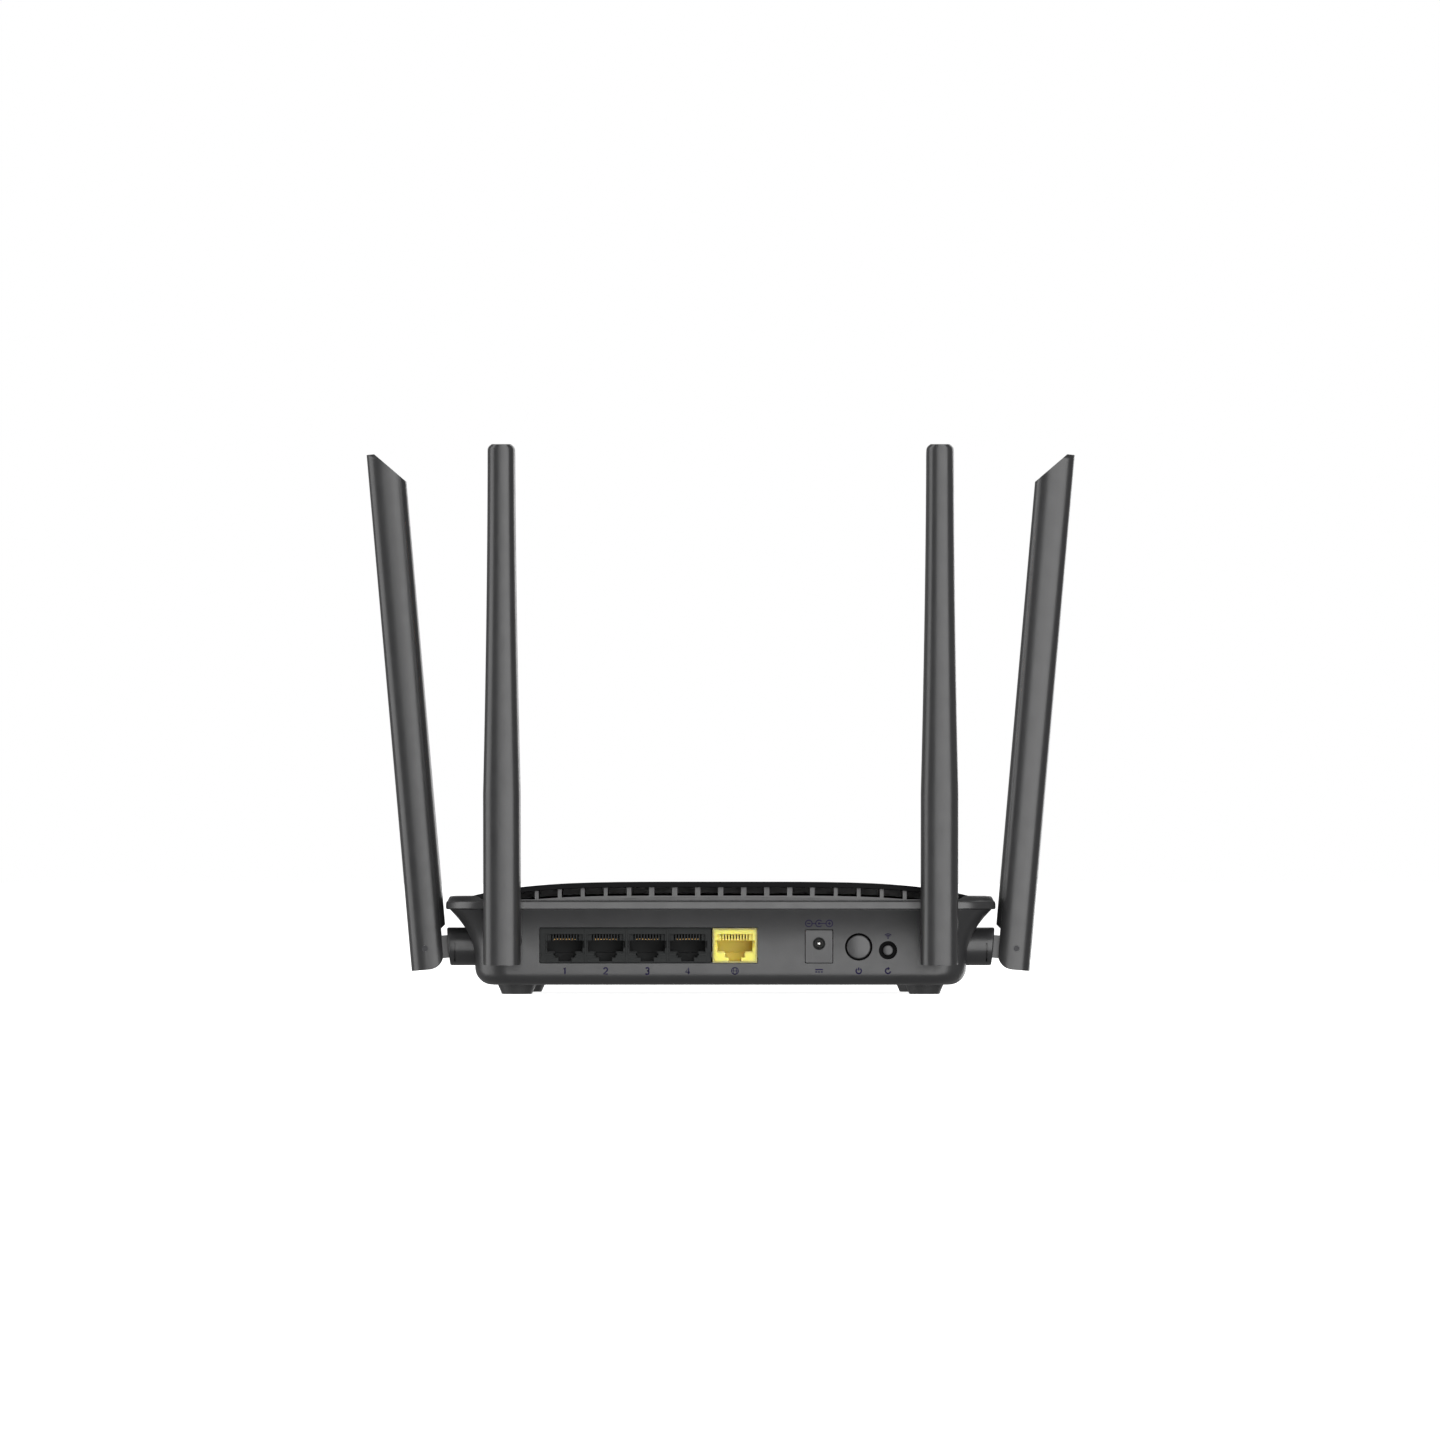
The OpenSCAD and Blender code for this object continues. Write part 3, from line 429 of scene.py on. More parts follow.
INK = moulded("mark_ink", (0.014, 0.011, 0.034), 0.8, 0.2, 0.003, specular=0.03)


# ------------------------------------------------------------------ case

ARC_STEPS = 14
EDGE_STEPS = 22


def outline(half, back, front, r0, r1):
    """A rounded outline with subdivided sides, as (x, y) points."""
    corners = [
        (half - r0, back + r0, r0, 270), (half - r1, front - r1, r1, 0),
        (r1 - half, front - r1, r1, 90), (r0 - half, back + r0, r0, 180),
    ]
    points = []
    for k, (cx, cy, r, start) in enumerate(corners):
        points += arc(cx, cy, r, start, start + 90, ARC_STEPS)
        nx, ny, nr, nstart = corners[(k + 1) % 4]
        first = points[-1]
        last = arc(nx, ny, nr, nstart, nstart + 90, 1)[0]
        points += [tuple(a + (b - a) * i / EDGE_STEPS for a, b in zip(first, last))
                   for i in range(1, EDGE_STEPS)]
    return points


def flare_x(z):
    """Half-width of the base at height z."""
    return BASE_LOW_W + SIDE_FLARE[0] * (max(0.0, z - FLARE_Z) / SIDE_FLARE[1]) ** 2


def flare_y(z):
    """How far the ends of the base lean out at height z."""
    return END_FLARE[0] * (max(0.0, z - FLARE_Z) / END_FLARE[1]) ** 2


def fillet(r, h):
    """How far a fillet of radius r draws a wall in at height h above its start."""
    return 0.0 if h >= r else r - math.sqrt(r * r - (r - h) ** 2)


def panel_at(z):
    """Where the port panel's outer face is at height z."""
    return PANEL_Y - flare_y(z)


def base_ring(z, inset, lift=0.0):
    """The base's outline at height z, drawn in by inset and raised by lift."""
    side = inset + fillet(SIDE_FILLET, z - BASE_Z)
    end = inset + fillet(END_FILLET, z - BASE_Z)
    flat = outline(flare_x(z) - side, panel_at(z) + end, RIM_FRONT - RIM_OVER + flare_y(z) - end,
                   BACK_CORNER - end, FRONT_CORNER - end)
    return [(x, y, z + lift) for x, y in flat]


def base_rings():
    """Outside from the floor up, over the top edge, and down the inside."""
    curve = [BASE_Z + SIDE_FILLET * (1 - math.cos(math.radians(90 * i / 12))) for i in range(13)]
    walls = 24
    rise = (SEAM_Z - 0.2 - curve[-1]) / walls
    outside = [(z, 0.0) for z in curve] + [(curve[-1] + rise * i, 0.0) for i in range(1, walls + 1)]
    edge = [(SEAM_Z - 0.06, 0.06), (SEAM_Z, 0.2), (SEAM_Z, WALL - 0.3)]
    inside = [(SEAM_Z - 0.4 - i * 1.9, WALL) for i in range(9)]
    floor = [(z, WALL, WALL) for z in reversed(curve)]
    return [base_ring(*row) for row in outside + edge + inside + floor]


def stub_frame(which):
    """Takes an antenna's own frame to its place in the case."""
    joint = next(j for j in frame["joints"] if j["name"] == which + "_swivel")
    turn = Matrix.Rotation(math.radians(TURN[which]), 4, "Z")
    return Matrix.Translation(Vector(joint["pos_m"]) / MM) @ turn


def tube_along_stub(which, r, start, end, steps=64):
    """A round rod on the axis that an antenna's stub turns on."""
    tube = loft("tube", [[(x, r * math.cos(a), r * math.sin(a)) for a in turned_angles(steps)]
                         for x in (start, end)])
    tube.data.transform(stub_frame(which))
    return tube


def screw_places():
    """Middles of the case screws, seen from below."""
    xs = (SCREWS_LOW.x + SCREW_HEAD_R, SCREWS_HIGH.x - SCREW_HEAD_R)
    ys = (SCREWS_LOW.y + SCREW_HEAD_R, SCREWS_HIGH.y - SCREW_HEAD_R)
    return [(x, y) for x in xs for y in ys]


def base_case():
    """The lower shell, with its port openings, stub bores, buttons' holes, vents and screw wells."""
    shell = loft("base_case", base_rings())
    back, deep = PANEL_Y - 4, PANEL_Y + WALL + 1.5
    cut(shell, prism("lan", rectangle(LAN_LOW.x - PORT_GAP, LAN_HIGH.x + PORT_GAP, LAN_LOW.z - PORT_GAP,
                                      LAN_HIGH.z + PORT_GAP, 0.5), facing_y, back, deep))
    tools = [
        prism("wan", rectangle(WAN_LOW.x - PORT_GAP, WAN_HIGH.x + PORT_GAP, WAN_LOW.z - PORT_GAP,
                               WAN_HIGH.z + PORT_GAP, 0.4), facing_y, back, deep),
        prism("inlet", rectangle(INLET_LOW.x - PORT_GAP, INLET_HIGH.x + PORT_GAP, INLET_LOW.z - PORT_GAP,
                                 INLET_HIGH.z + PORT_GAP, 0.4), facing_y, back, deep),
    ]
    for low, high, r in ((POWER_LOW, POWER_HIGH, POWER_HOLE_R), (RESET_LOW, RESET_HIGH, RESET_HOLE_R)):
        middle = (low + high) / 2
        tools.append(prism("hole", circle(middle.x, middle.z, r, 64), facing_y, back, deep))
    tools += [tube_along_stub(which, BORE_R, -STUB_LEN - 1, 3) for which in TURN]
    slot_half, slot_r, slot_pitch, slots_side = 13.0, 1.1, 6.5, 6
    first_row, row_pitch, head_r = 34.0, 40.0, 3.2
    for row in (0, 1):
        for i in range(-slots_side, slots_side + 1):
            x, y = i * slot_pitch, PANEL_Y + first_row + row * row_pitch
            vent = rectangle(x - slot_r, x + slot_r, y - slot_half, y + slot_half, slot_r - 0.05, 6)
            tools.append(prism("slot", vent, facing_z, BASE_Z - 1, BASE_Z + WALL + 1))
    for x, y in screw_places():
        tools.append(prism("head", circle(x, y, head_r, 32), facing_z, BASE_Z - 1, BASE_Z + WALL + 0.4))
    cut(shell, *tools)
    settle(shell, "case", "case_plastic", ["base_shell"])


def shell_ring(dx, dback, dfront, z, r0=15.0, r1=24.0):
    """The rim's outline at height z, drawn in at the sides, back and front."""
    flat = outline(HALF_W - dx, RIM_BACK + dback, RIM_FRONT - dfront, r0, r1)
    return [(x, y, z) for x, y in flat]


def crown(x, y):
    """Height of the top plate's upper face."""
    side = CROWN_FALL * min(1.0, abs(x) / PLATE_HALF) ** CROWN_POWER
    front = FRONT_FALL * (max(0.0, y - FALL_FROM) / (PLATE_FRONT - FALL_FROM)) ** 2
    return CROWN_Z - side - front


def crown_ring(inset, drop, grow=0.0):
    """The top plate's outline drawn in by inset, on its upper face or below it by drop."""
    r0, r1 = max(1.5, 10 + grow - inset), max(1.5, 18 + grow - inset)
    flat = outline(PLATE_HALF + grow - inset, PLATE_BACK - grow + inset, PLATE_FRONT + grow - inset, r0, r1)
    return [(x, y, crown(x, y) - drop) for x, y in flat]


CROWN_INSETS = [1, 2, 3.5, 5.5, 8, 11, 15, 20, 26, 33, 41, 50, 57]
BED_GAP = 0.12


def crown_bed():
    """Everything above the underside of the top plate, inside its outline."""
    under = [crown_ring(inset, PLATE_T, BED_GAP) for inset in reversed(CROWN_INSETS)]
    edge = crown_ring(0, PLATE_T, BED_GAP)
    above = [(x, y, CROWN_Z + 6) for x, y, _ in edge]
    return loft("bed", under + [edge, above])


def crown_hollow():
    """The space under the roof of the top shell."""
    inset = PLATE_HALF - VENT_HALF + WALL
    roof = [crown_ring(i + inset, PLATE_T + WALL) for i in reversed(CROWN_INSETS[:-2])]
    edge = crown_ring(inset, PLATE_T + WALL)
    low = [(x, max(y, VENT_BACK + WALL), SEAM_Z - 1) for x, y, _ in edge]
    return loft("hollow", roof + [edge, low])


def vent_slot(i):
    """One opening between two ribs; the ribs get thinner towards the ends."""
    middle = (i + 0.5) * RIB_PITCH
    rib = RIB_W[0] if abs(middle) < 4 * RIB_PITCH else RIB_W[1]
    half = (RIB_PITCH - rib) / 2
    roof = [(x, crown(x, 0) - PLATE_T) for x in (middle - half, middle + half)]
    sill = [(x, max(TROUGH_Z + 0.4, z - VENT_H)) for x, z in reversed(roof)]
    points = [(x, z + 0.4) for x, z in roof] + sill
    return prism("slot", points, facing_y, VENT_BACK - 2, VENT_BACK + SLOT_DEEP)


def lens_recess():
    """Shallow lens-shaped recess under the middle of the vent."""
    half, height, z = 35.6, 0.65, 32.65
    upper = [(half * (1 - i / 24), z + height * (1 - (1 - i / 24) ** 2)) for i in range(49)]
    lower = [(-half + half * i / 24, z - height * (1 - (1 - i / 24) ** 2)) for i in range(1, 48)]
    return prism("lens", upper + lower, facing_y, VENT_BACK - 2, VENT_BACK + 0.6)


def top_case():
    """The upper shell: rim, wings, vent wall and roof. Its profile runs from the seam up."""
    profile = [
        (4.6, 4.4, 4.4, SEAM_Z), (0.9, 0.7, 0.8, SEAM_Z), (0.42, 0.3, 0.4, SEAM_Z + 0.04),
        (0.14, 0.08, 0.14, SEAM_Z + 0.2), (0.02, 0.0, 0.02, SEAM_Z + 0.42), (0.0, 0.05, 0.0, SEAM_Z + 0.8),
        (0.0, 0.16, 0.0, 30.5), (0.03, 0.22, 0.03, 30.9), (0.14, 0.30, 0.12, 31.35), (0.24, 0.36, 0.3, 31.6),
        (0.36, 0.48, 0.4, 31.75), (0.42, 0.70, 0.5, RIM_TOP), (0.46, 3.0, 0.55, RIM_TOP + 0.02),
        (0.52, 3.3, 0.6, RIM_TOP + 0.1), (0.80, 3.9, 0.9, 32.5), (1.08, 4.4, 1.2, 33.1),
        (1.25, 4.65, 1.5, 33.36), (1.6, 4.8, 2.0, 33.48), (2.2, 4.95, 2.6, WING_TOP),
        (HALF_W - VENT_HALF, 5.0, 7.0, WING_TOP + 0.01), (HALF_W - VENT_HALF + 0.01, 5.01, 7.01, CROWN_Z + 2),
    ]
    radii = [(15, 24)] * (len(profile) - 2) + [(9, 18)] * 2
    shell = loft("top_case", [shell_ring(*row, *r) for row, r in zip(profile, radii)])
    below = prism("below", outline(HALF_W - 4.6, RIM_BACK + 4.4, RIM_FRONT - 4.4, 12, 20),
                  facing_z, SEAM_Z - 1, RIM_TOP - 0.4)
    combine(shell, crown_bed(), "DIFFERENCE")
    combine(shell, crown_hollow(), "DIFFERENCE")
    combine(shell, below, "DIFFERENCE")
    guide = box("guide", (WINDOW_LOW.x + 1, WINDOW_LOW.y + 0.5, WINDOW_LOW.z - 4),
                (WINDOW_HIGH.x - 1, WINDOW_HIGH.y - 0.5, WINDOW_HIGH.z + 2))
    slant = 1.5
    ledge = [(-TROUGH_HALF, TROUGH_Z), (TROUGH_HALF, TROUGH_Z),
             (TROUGH_HALF + slant, TROUGH_Z + 3), (-TROUGH_HALF - slant, TROUGH_Z + 3)]
    cut(shell, prism("trough", ledge, facing_y, RIM_BACK + 1, VENT_BACK))
    slots = [vent_slot(i) for i in range(-RIBS_SIDE - 1, RIBS_SIDE + 1)]
    cut(shell, lens_recess(), guide, *slots)
    settle(shell, "case", "case_plastic", ["top_shell"]).data.materials[0] = RIM


def top_cover():
    """The black crowned plate, with a rounded edge and a slot for the indicator window."""
    under = [crown_ring(inset, PLATE_T) for inset in reversed(CROWN_INSETS)]
    rounded = [(0.12, PLATE_T), (0, PLATE_T - 0.15), (0, 0.55), (0.06, 0.3),
               (0.2, 0.12), (0.45, 0.02), (0.7, 0.0)]
    edge = [crown_ring(inset, drop) for inset, drop in rounded]
    over = [crown_ring(inset, 0.0) for inset in CROWN_INSETS]
    plate = loft("top_cover", under + edge + over)
    gap = 0.1
    window = prism("window", rectangle(WINDOW_LOW.x - gap, WINDOW_HIGH.x + gap, WINDOW_LOW.y - gap,
                                       WINDOW_HIGH.y + gap, 0.8), facing_z, CROWN_Z - 12, CROWN_Z + 4)
    cut(plate, window)
    settle(plate, "case", "plate_plastic", ["top_plate"])


def window_strip():
    """Smoked window, flush with the plate."""
    strip = prism("window_strip", rectangle(WINDOW_LOW.x, WINDOW_HIGH.x, WINDOW_LOW.y, WINDOW_HIGH.y, 0.7),
                  facing_z, WINDOW_LOW.z, WINDOW_HIGH.z + 3)
    over = loft("over", [crown_ring(i, 0.02) for i in reversed(CROWN_INSETS)]
                + [crown_ring(0, 0.02), [(x, y, CROWN_Z + 9) for x, y, _ in crown_ring(0, 0)]])
    cut(strip, over)
    settle(strip, "case", "window_plastic", ["indicator_window"], edge=0.12)


def feet():
    """Four rubber feet, closer together at the front."""
    reach, front_in = 6.55, 2.2
    back_x, back_y, front_y = FEET_HIGH.x - reach, FEET_LOW.y + reach, FEET_HIGH.y - reach
    places = [(s * x, y) for s in (-1, 1) for x, y in ((back_x, back_y), (back_x - front_in, front_y))]
    profile = [(0.0, 4.7), (0.05, 5.02), (0.22, 5.22), (0.5, 5.35),
               (1.8, 5.93), (2.9, 6.42), (3.08, 6.5), (3.2, 6.5)]
    pads = [loft("pad", [[(x + r * math.cos(a), y + r * math.sin(a), z) for a in turned_angles(48)]
                         for z, r in profile]) for x, y in places]
    settle(join("rubber_feet", pads), "case", "foot_rubber", ["feet"])


# ------------------------------------------------------------------ sockets and buttons

def jack_tools(x, top, face):
    """Cutters for one modular socket with its tab downwards."""
    mouth = top - JACK_DROP
    tab = mouth - JACK_H
    half = JACK_W / 2
    inner = face + JACK_DEEP
    nick_w, nick_top, nick_low, nick_deep = JACK_NICK
    step_half, step_drop = JACK_STEP
    tab_half, tab_drop = JACK_TAB
    left, right = x - half, x + half
    low, high, deep = mouth - nick_low, mouth - nick_top, face + nick_deep
    return [
        box("main", (left, face - 1, tab), (right, inner, mouth), 0.15),
        box("left", (left - nick_w, face - 1, low), (left + 0.2, deep, high)),
        box("right", (right - 0.2, face - 1, low), (right + nick_w, deep, high)),
        box("step", (x - step_half, face - 1, tab - step_drop), (x + step_half, inner - 2, tab + 0.3)),
        box("tab", (x - tab_half, face - 1, tab - tab_drop), (x + tab_half, inner - 2, tab - 1.2)),
    ]


def jack_fittings(x, top, face):
    """The comb between which the contacts run, and a low ledge to each side of the tab's way."""
    mouth = top - JACK_DROP
    tab = mouth - JACK_H
    half, front, back = JACK_W / 2, face + 1.1, face + 9.5
    middles = [(k - (CONTACTS - 1) / 2) * CONTACT_PITCH for k in range(CONTACTS)]
    edges = [-half] + [u + s * CONTACT_GAP / 2 for u in middles for s in (-1, 1)] + [half]
    comb = [box("tooth", (x + u0, front, mouth - COMB_H), (x + u1, back, mouth + 0.05))
            for u0, u1 in zip(edges[::2], edges[1::2])]
    ledges = [box("ledge", (x + min(s * 3.5, s * half), face + 0.5, tab - 0.05),
                  (x + max(s * 3.5, s * half), face + 8, tab + 0.5)) for s in (-1, 1)]
    return comb + ledges


def lan_face():
    """Raised ribs and strips, as moulded round the openings of the four-socket block."""
    top, face = LAN_HIGH.z, LAN_LOW.y
    mouth = top - JACK_DROP
    tab = mouth - JACK_H
    bars = []

    def bar(x0, x1, z0, z1, proud):
        bars.append(box("bar", (min(x0, x1), face - proud, z0), (max(x0, x1), face + 0.3, z1)))

    edges = [LAN_LOW.x] + [(a + b) / 2 for a, b in zip(JACK_XS, JACK_XS[1:])] + [LAN_HIGH.x]
    for x in edges[1:-1]:
        bar(x - 0.28, x + 0.28, LAN_LOW.z + 0.1, top - 0.1, 0.18)
    bar(LAN_HIGH.x - 0.35, LAN_HIGH.x - 0.05, LAN_LOW.z + 0.1, top - 0.1, 0.18)
    for k, x in enumerate(JACK_XS):
        for s, limit in ((-1, edges[k] + 0.5), (1, edges[k + 1] - 0.5)):
            side = x + s * (JACK_W / 2 + 0.02)
            outer = side + s * min(0.62, abs(limit - side))
            bar(side, outer, mouth - 2.3, mouth + 0.1, 0.14)
            bar(side, outer, tab - 0.1, tab + 1.6, 0.14)
            bar(x + s * 3.4, limit, tab - 0.95, tab - 0.12, 0.18)
            bar(x + s * 3.4, x + s * 3.9, tab - 1.55, tab - 0.12, 0.18)
            bar(x + s * 2.25, x + s * 6.3, LAN_LOW.z + 0.15, tab - 1.75, 0.14)
    return bars


def wan_face():
    """The raised lip round the single socket."""
    lip, proud, face = 0.55, 0.12, WAN_LOW.y
    outer = rectangle(WAN_LOW.x, WAN_HIGH.x, WAN_LOW.z, WAN_HIGH.z, 0.3)
    inner = rectangle(WAN_LOW.x + lip, WAN_HIGH.x - lip, WAN_LOW.z + lip, WAN_HIGH.z - lip, 0.2)
    rings = [(outer, face + 0.4), (outer, face), (inner, face), (inner, face + proud), (inner, face + 0.4)]
    return [loft("lip", [[(x, y, z) for x, z in ring] for ring, y in rings], loop=True)]


def socket_block(name, low, high, middles, slot, node, extras, lip=0.0):
    """A block with a modular socket at each of the middles."""
    block = prism(name, rectangle(low.x, high.x, low.z, high.z, 0.25), facing_y, low.y + lip, high.y)
    tools = [tool for x in middles for tool in jack_tools(x, high.z, low.y)]
    for tool in tools:
        combine(block, tool, "DIFFERENCE")
    fittings = [piece for x in middles for piece in jack_fittings(x, high.z, low.y)]
    settle(join(name, [block, *fittings, *extras]), "case", slot, [node], edge=0.06)


def power_socket():
    """The inlet's block, the sleeve in its hole and its centre pin."""
    middle = (INLET_PIN_LOW + INLET_PIN_HIGH) / 2
    block = prism("inlet_block", rectangle(INLET_LOW.x, INLET_HIGH.x, INLET_LOW.z, INLET_HIGH.z, 0.35),
                  facing_y, INLET_LOW.y, INLET_HIGH.y)
    hole_r, deep, face = 2.1, 10.0, INLET_LOW.y
    cut(block, prism("hole", circle(middle.x, middle.z, hole_r, 48), facing_y, face - 1, face + deep))
    settle(block, "case", "inlet_plastic", ["power_inlet"], edge=0.12)
    sleeve = [(0.5, 2.08), (0.5, 1.8), (0.8, 1.62), (9.0, 1.62), (9.0, 2.08)]
    settle(lathe_y("inlet_sleeve", middle.x, middle.z, [(face + y, r) for y, r in sleeve], 48, True),
           "case", "socket_black")
    start, end = INLET_PIN_LOW.y, INLET_PIN_HIGH.y
    nose = [(0.0, 0.12), (0.05, 0.32), (0.2, 0.52), (0.45, 0.63), (0.7, 0.65), (end - start, 0.65)]
    settle(lathe_y("inlet_pin", middle.x, middle.z, [(start + y, r) for y, r in nose], 32),
           "case", "inlet_steel", ["power_inlet_pin"])


def domed_cap(name, low, high, r, dome, edge, body, node):
    """A round button cap with a gently domed face and a rounded rim."""
    middle = (low + high) / 2
    face = low.y
    profile = [(face + dome * (k / 8) ** 2, r * 0.9 * k / 8) for k in range(1, 9)]
    profile = [(face, 0.05)] + profile
    rim = profile[-1][0]
    for k in range(1, 6):
        a = math.radians(90 * k / 5)
        profile.append((rim + edge * (1 - math.cos(a)), r * 0.9 + (r * 0.1) * math.sin(a)))
    profile.append((high.y, r))
    settle(lathe_y(name, middle.x, middle.z, profile), body, "button_plastic", [node])


def flange(name, low, high, cap_r, hole_r, body):
    """The rim behind the panel that keeps a button in its hole; its near-black colour is painted shade, so the gap
    round the cap reads dark.
    """
    middle = (low + high) / 2
    inner, outer, near, far = cap_r - 0.3, hole_r + FLANGE[0], PANEL_Y + FLANGE[1], PANEL_Y + FLANGE[2]
    profile = [(near, inner), (near, outer), (far, outer), (far, inner)]
    # switch_plastic here is painted shade for the gap round the cap, which the frontal lamp would otherwise light
    # grey
    settle(lathe_y(name, middle.x, middle.z, profile, 48, True), body, "switch_plastic")


# ------------------------------------------------------------------ printed marks

def ribbon(points, width, closed=False):
    """A thin raised line through (x, z) points on the port panel."""
    lift, sink = 0.035, 0.06
    n = len(points)
    left, right = [], []
    for i, (x, z) in enumerate(points):
        before = points[(i - 1) % n] if closed or i else points[i]
        after = points[(i + 1) % n] if closed or i < n - 1 else points[i]
        dx, dz = after[0] - before[0], after[1] - before[1]
        size = math.hypot(dx, dz) or 1.0
        ox, oz = -dz / size * width / 2, dx / size * width / 2
        left.append((x + ox, z + oz))
        right.append((x - ox, z - oz))
    rings = []
    for i in range(n):
        ring = []
        for (x, z), depth in ((left[i], -lift), (right[i], -lift), (right[i], sink), (left[i], sink)):
            ring.append((x, panel_at(z) + depth, z))
        rings.append(ring)
    return loft("line", rings, loop=closed)


def numeral(digit):
    """Strokes of a plain digit in a box 1.2 wide and 2 high."""
    if digit == 1:
        return [[(-0.4, 0.6), (0.05, 1.0), (0.05, -1.0)]]
    if digit == 2:
        return [arc(0.0, 0.42, 0.58, 170, -35, 12) + [(-0.6, -0.95), (0.68, -0.95)]]
    if digit == 3:
        return [arc(0.0, 0.48, 0.52, 150, -90, 12) + arc(0.0, -0.5, 0.55, 90, -150, 12)]
    return [[(0.3, -1.0), (0.3, 1.0), (-0.65, -0.38), (0.72, -0.38)]]


def port_marks():
    """Plain numerals for the four sockets and generic symbols for the rest."""
    line, thin, finest = 0.48, 0.30, 0.21
    low_z, half = 8.0, 1.1
    marks = []

    def mark(points, width, closed=False):
        marks.append(ribbon(points, width, closed))

    for k, x in enumerate(JACK_XS):
        for stroke in numeral(k + 1):
            mark([(x + u * half, low_z + v * half) for u, v in stroke], line)
    wan_x = (WAN_LOW.x + WAN_HIGH.x) / 2
    globe = half * 1.05
    mark(circle(wan_x, low_z, globe, 32), thin, True)
    ellipse = [(wan_x + u * 0.45, low_z + v) for u, v in circle(0, 0, globe, 32)]
    mark(ellipse, finest, True)
    mark([(wan_x - globe, low_z), (wan_x + globe, low_z)], finest)
    inlet_x = (INLET_LOW.x + INLET_HIGH.x) / 2
    mark([(inlet_x - 1.3, low_z + 0.45), (inlet_x + 1.3, low_z + 0.45)], line)
    for k in (-1, 0, 1):
        dash = inlet_x + k * 0.95
        mark([(dash - 0.32, low_z - 0.35), (dash + 0.32, low_z - 0.35)], line)
    power_x = (POWER_LOW.x + POWER_HIGH.x) / 2
    mark(arc(power_x, low_z, 0.9, 125, 415, 28), line)
    mark([(power_x, low_z + 0.15), (power_x, low_z + 1.15)], line)
    reset_x = (RESET_LOW.x + RESET_HIGH.x) / 2
    mark(arc(reset_x, low_z, 0.88, 60, 350, 28), line)
    arrow = [(0.1, 1.25), (0.55, 0.72), (-0.1, 0.45)]
    mark([(reset_x + u, low_z + v) for u, v in arrow], thin)
    pair_z = 20.0
    for r in (0.55, 1.05, 1.55):
        mark(arc(reset_x, pair_z - 0.9, r, 45, 135, 12), thin)
    mark(circle(reset_x, pair_z - 0.9, 0.12, 12), 0.22, True)
    sign_z, sign_r = 24.2, 1.12
    for k, x in enumerate((inlet_x - 3.5, inlet_x, inlet_x + 3.5)):
        ring = arc(x, sign_z, sign_r, 40, 320, 28) if k == 1 else circle(x, sign_z, sign_r, 32)
        mark(ring, thin, k != 1)
        if k == 1:
            mark(circle(x, sign_z, 0.2, 16), 0.36, True)
        else:
            mark([(x - 0.55, sign_z), (x + 0.55, sign_z)], thin)
        if k == 2:
            mark([(x, sign_z - 0.55), (x, sign_z + 0.55)], thin)
    mark([(inlet_x - 3.5 + sign_r, sign_z), (inlet_x - sign_r, sign_z)], thin * 0.8)
    mark([(inlet_x + 0.2, sign_z), (inlet_x + 3.5 - sign_r, sign_z)], thin * 0.8)
    printed = settle(join("port_marks", marks), "case", "plate_plastic")
    printed.data.materials[0] = INK


# ------------------------------------------------------------------ antennas

def section(z, steps=72):
    """The closed blade's section at height z, cover included, as (x, y) points."""
    taper = min(1.0, max(0.0, z - TAPER_Z) / (BLADE_TOP - TAPER_Z))
    half_y = (BLADE_TIP_W + (BLADE_W - BLADE_TIP_W) * (1 - taper) ** TAPER_POWER) / 2
    half_y -= TIP_CORNER[0] * max(0.0, (z - BLADE_TOP + TIP_CORNER[1]) / TIP_CORNER[1]) ** 2
    half_x = (BLADE_X - SKIN_GAP) / 2
    power = 2 / SECTION_POWER
    points = []
    for a in turned_angles(steps):
        c, s = math.cos(a), math.sin(a)
        x = SKIN_GAP + half_x + half_x * math.copysign(abs(c) ** power, c)
        points.append((x, half_y * math.copysign(abs(s) ** power, s)))
    return points


def blade_body():
    """The whole blade, before its ends are shaped."""
    shoulder = BLADE_TOP - TIP_CORNER[1]
    heights = [-BLADE_FOOT - 0.5] + [TAPER_Z * i / 8 for i in range(9)]
    heights += [TAPER_Z + (shoulder - TAPER_Z) * i / 20 for i in range(1, 21)]
    heights += [BLADE_TOP - TIP_CORNER[1] * (1 - i / 4) for i in range(1, 5)]
    return loft("blade", [[(x, y, z) for x, y in section(z)] for z in heights])


def blade_side(x0, x1):
    """Side view of a blade between two depths, in x and z."""
    flat_x = BLADE_X - TIP_FLAT
    return (
        arc(x0 + FOOT_INNER_R, FOOT_INNER_R - BLADE_FOOT, FOOT_INNER_R, 180, 270, 14)
        + arc(x1 - FOOT_OUTER_R, FOOT_OUTER_R - BLADE_FOOT, FOOT_OUTER_R, 270, 360, 8)
        + [(x1, BLADE_TOP), (flat_x, BLADE_TOP), (x0, BLADE_TOP - (flat_x - x0) * TIP_SLOPE)]
    )


def antenna_housing():
    """The outer part of a blade, with the fork for the hinge, the pin's hole and the hollow inside."""
    side = prism("side", blade_side(FORK_X, BLADE_X + 0.1), facing_y, -9, 9)
    housing = combine(blade_body(), side, "INTERSECT")
    reach = TONGUE_H / 2 + 0.35
    gap = TONGUE_W / 2 + 0.2
    way = [(-6, reach), (PIN_REACH, reach), *arc(PIN_REACH, 0, reach, 80, 0, 9),
           (PIN_REACH + reach, -12), (-6, -12)]
    cut(housing, prism("fork", way, facing_y, -gap, gap))
    cut(housing, prism("pin", circle(PIN_REACH, 0, PIN_R + 0.03, 32), facing_y, -9, 9))
    foot_z, top_z = 8.0, 159.0
    half = BLADE_TIP_W / 2 - 1.5
    inside = rectangle(FORK_X - 1, FORK_X + BLADE_D - 2.5, foot_z, top_z, 0.8)
    return cut(housing, prism("hollow", inside, facing_y, -half, half))


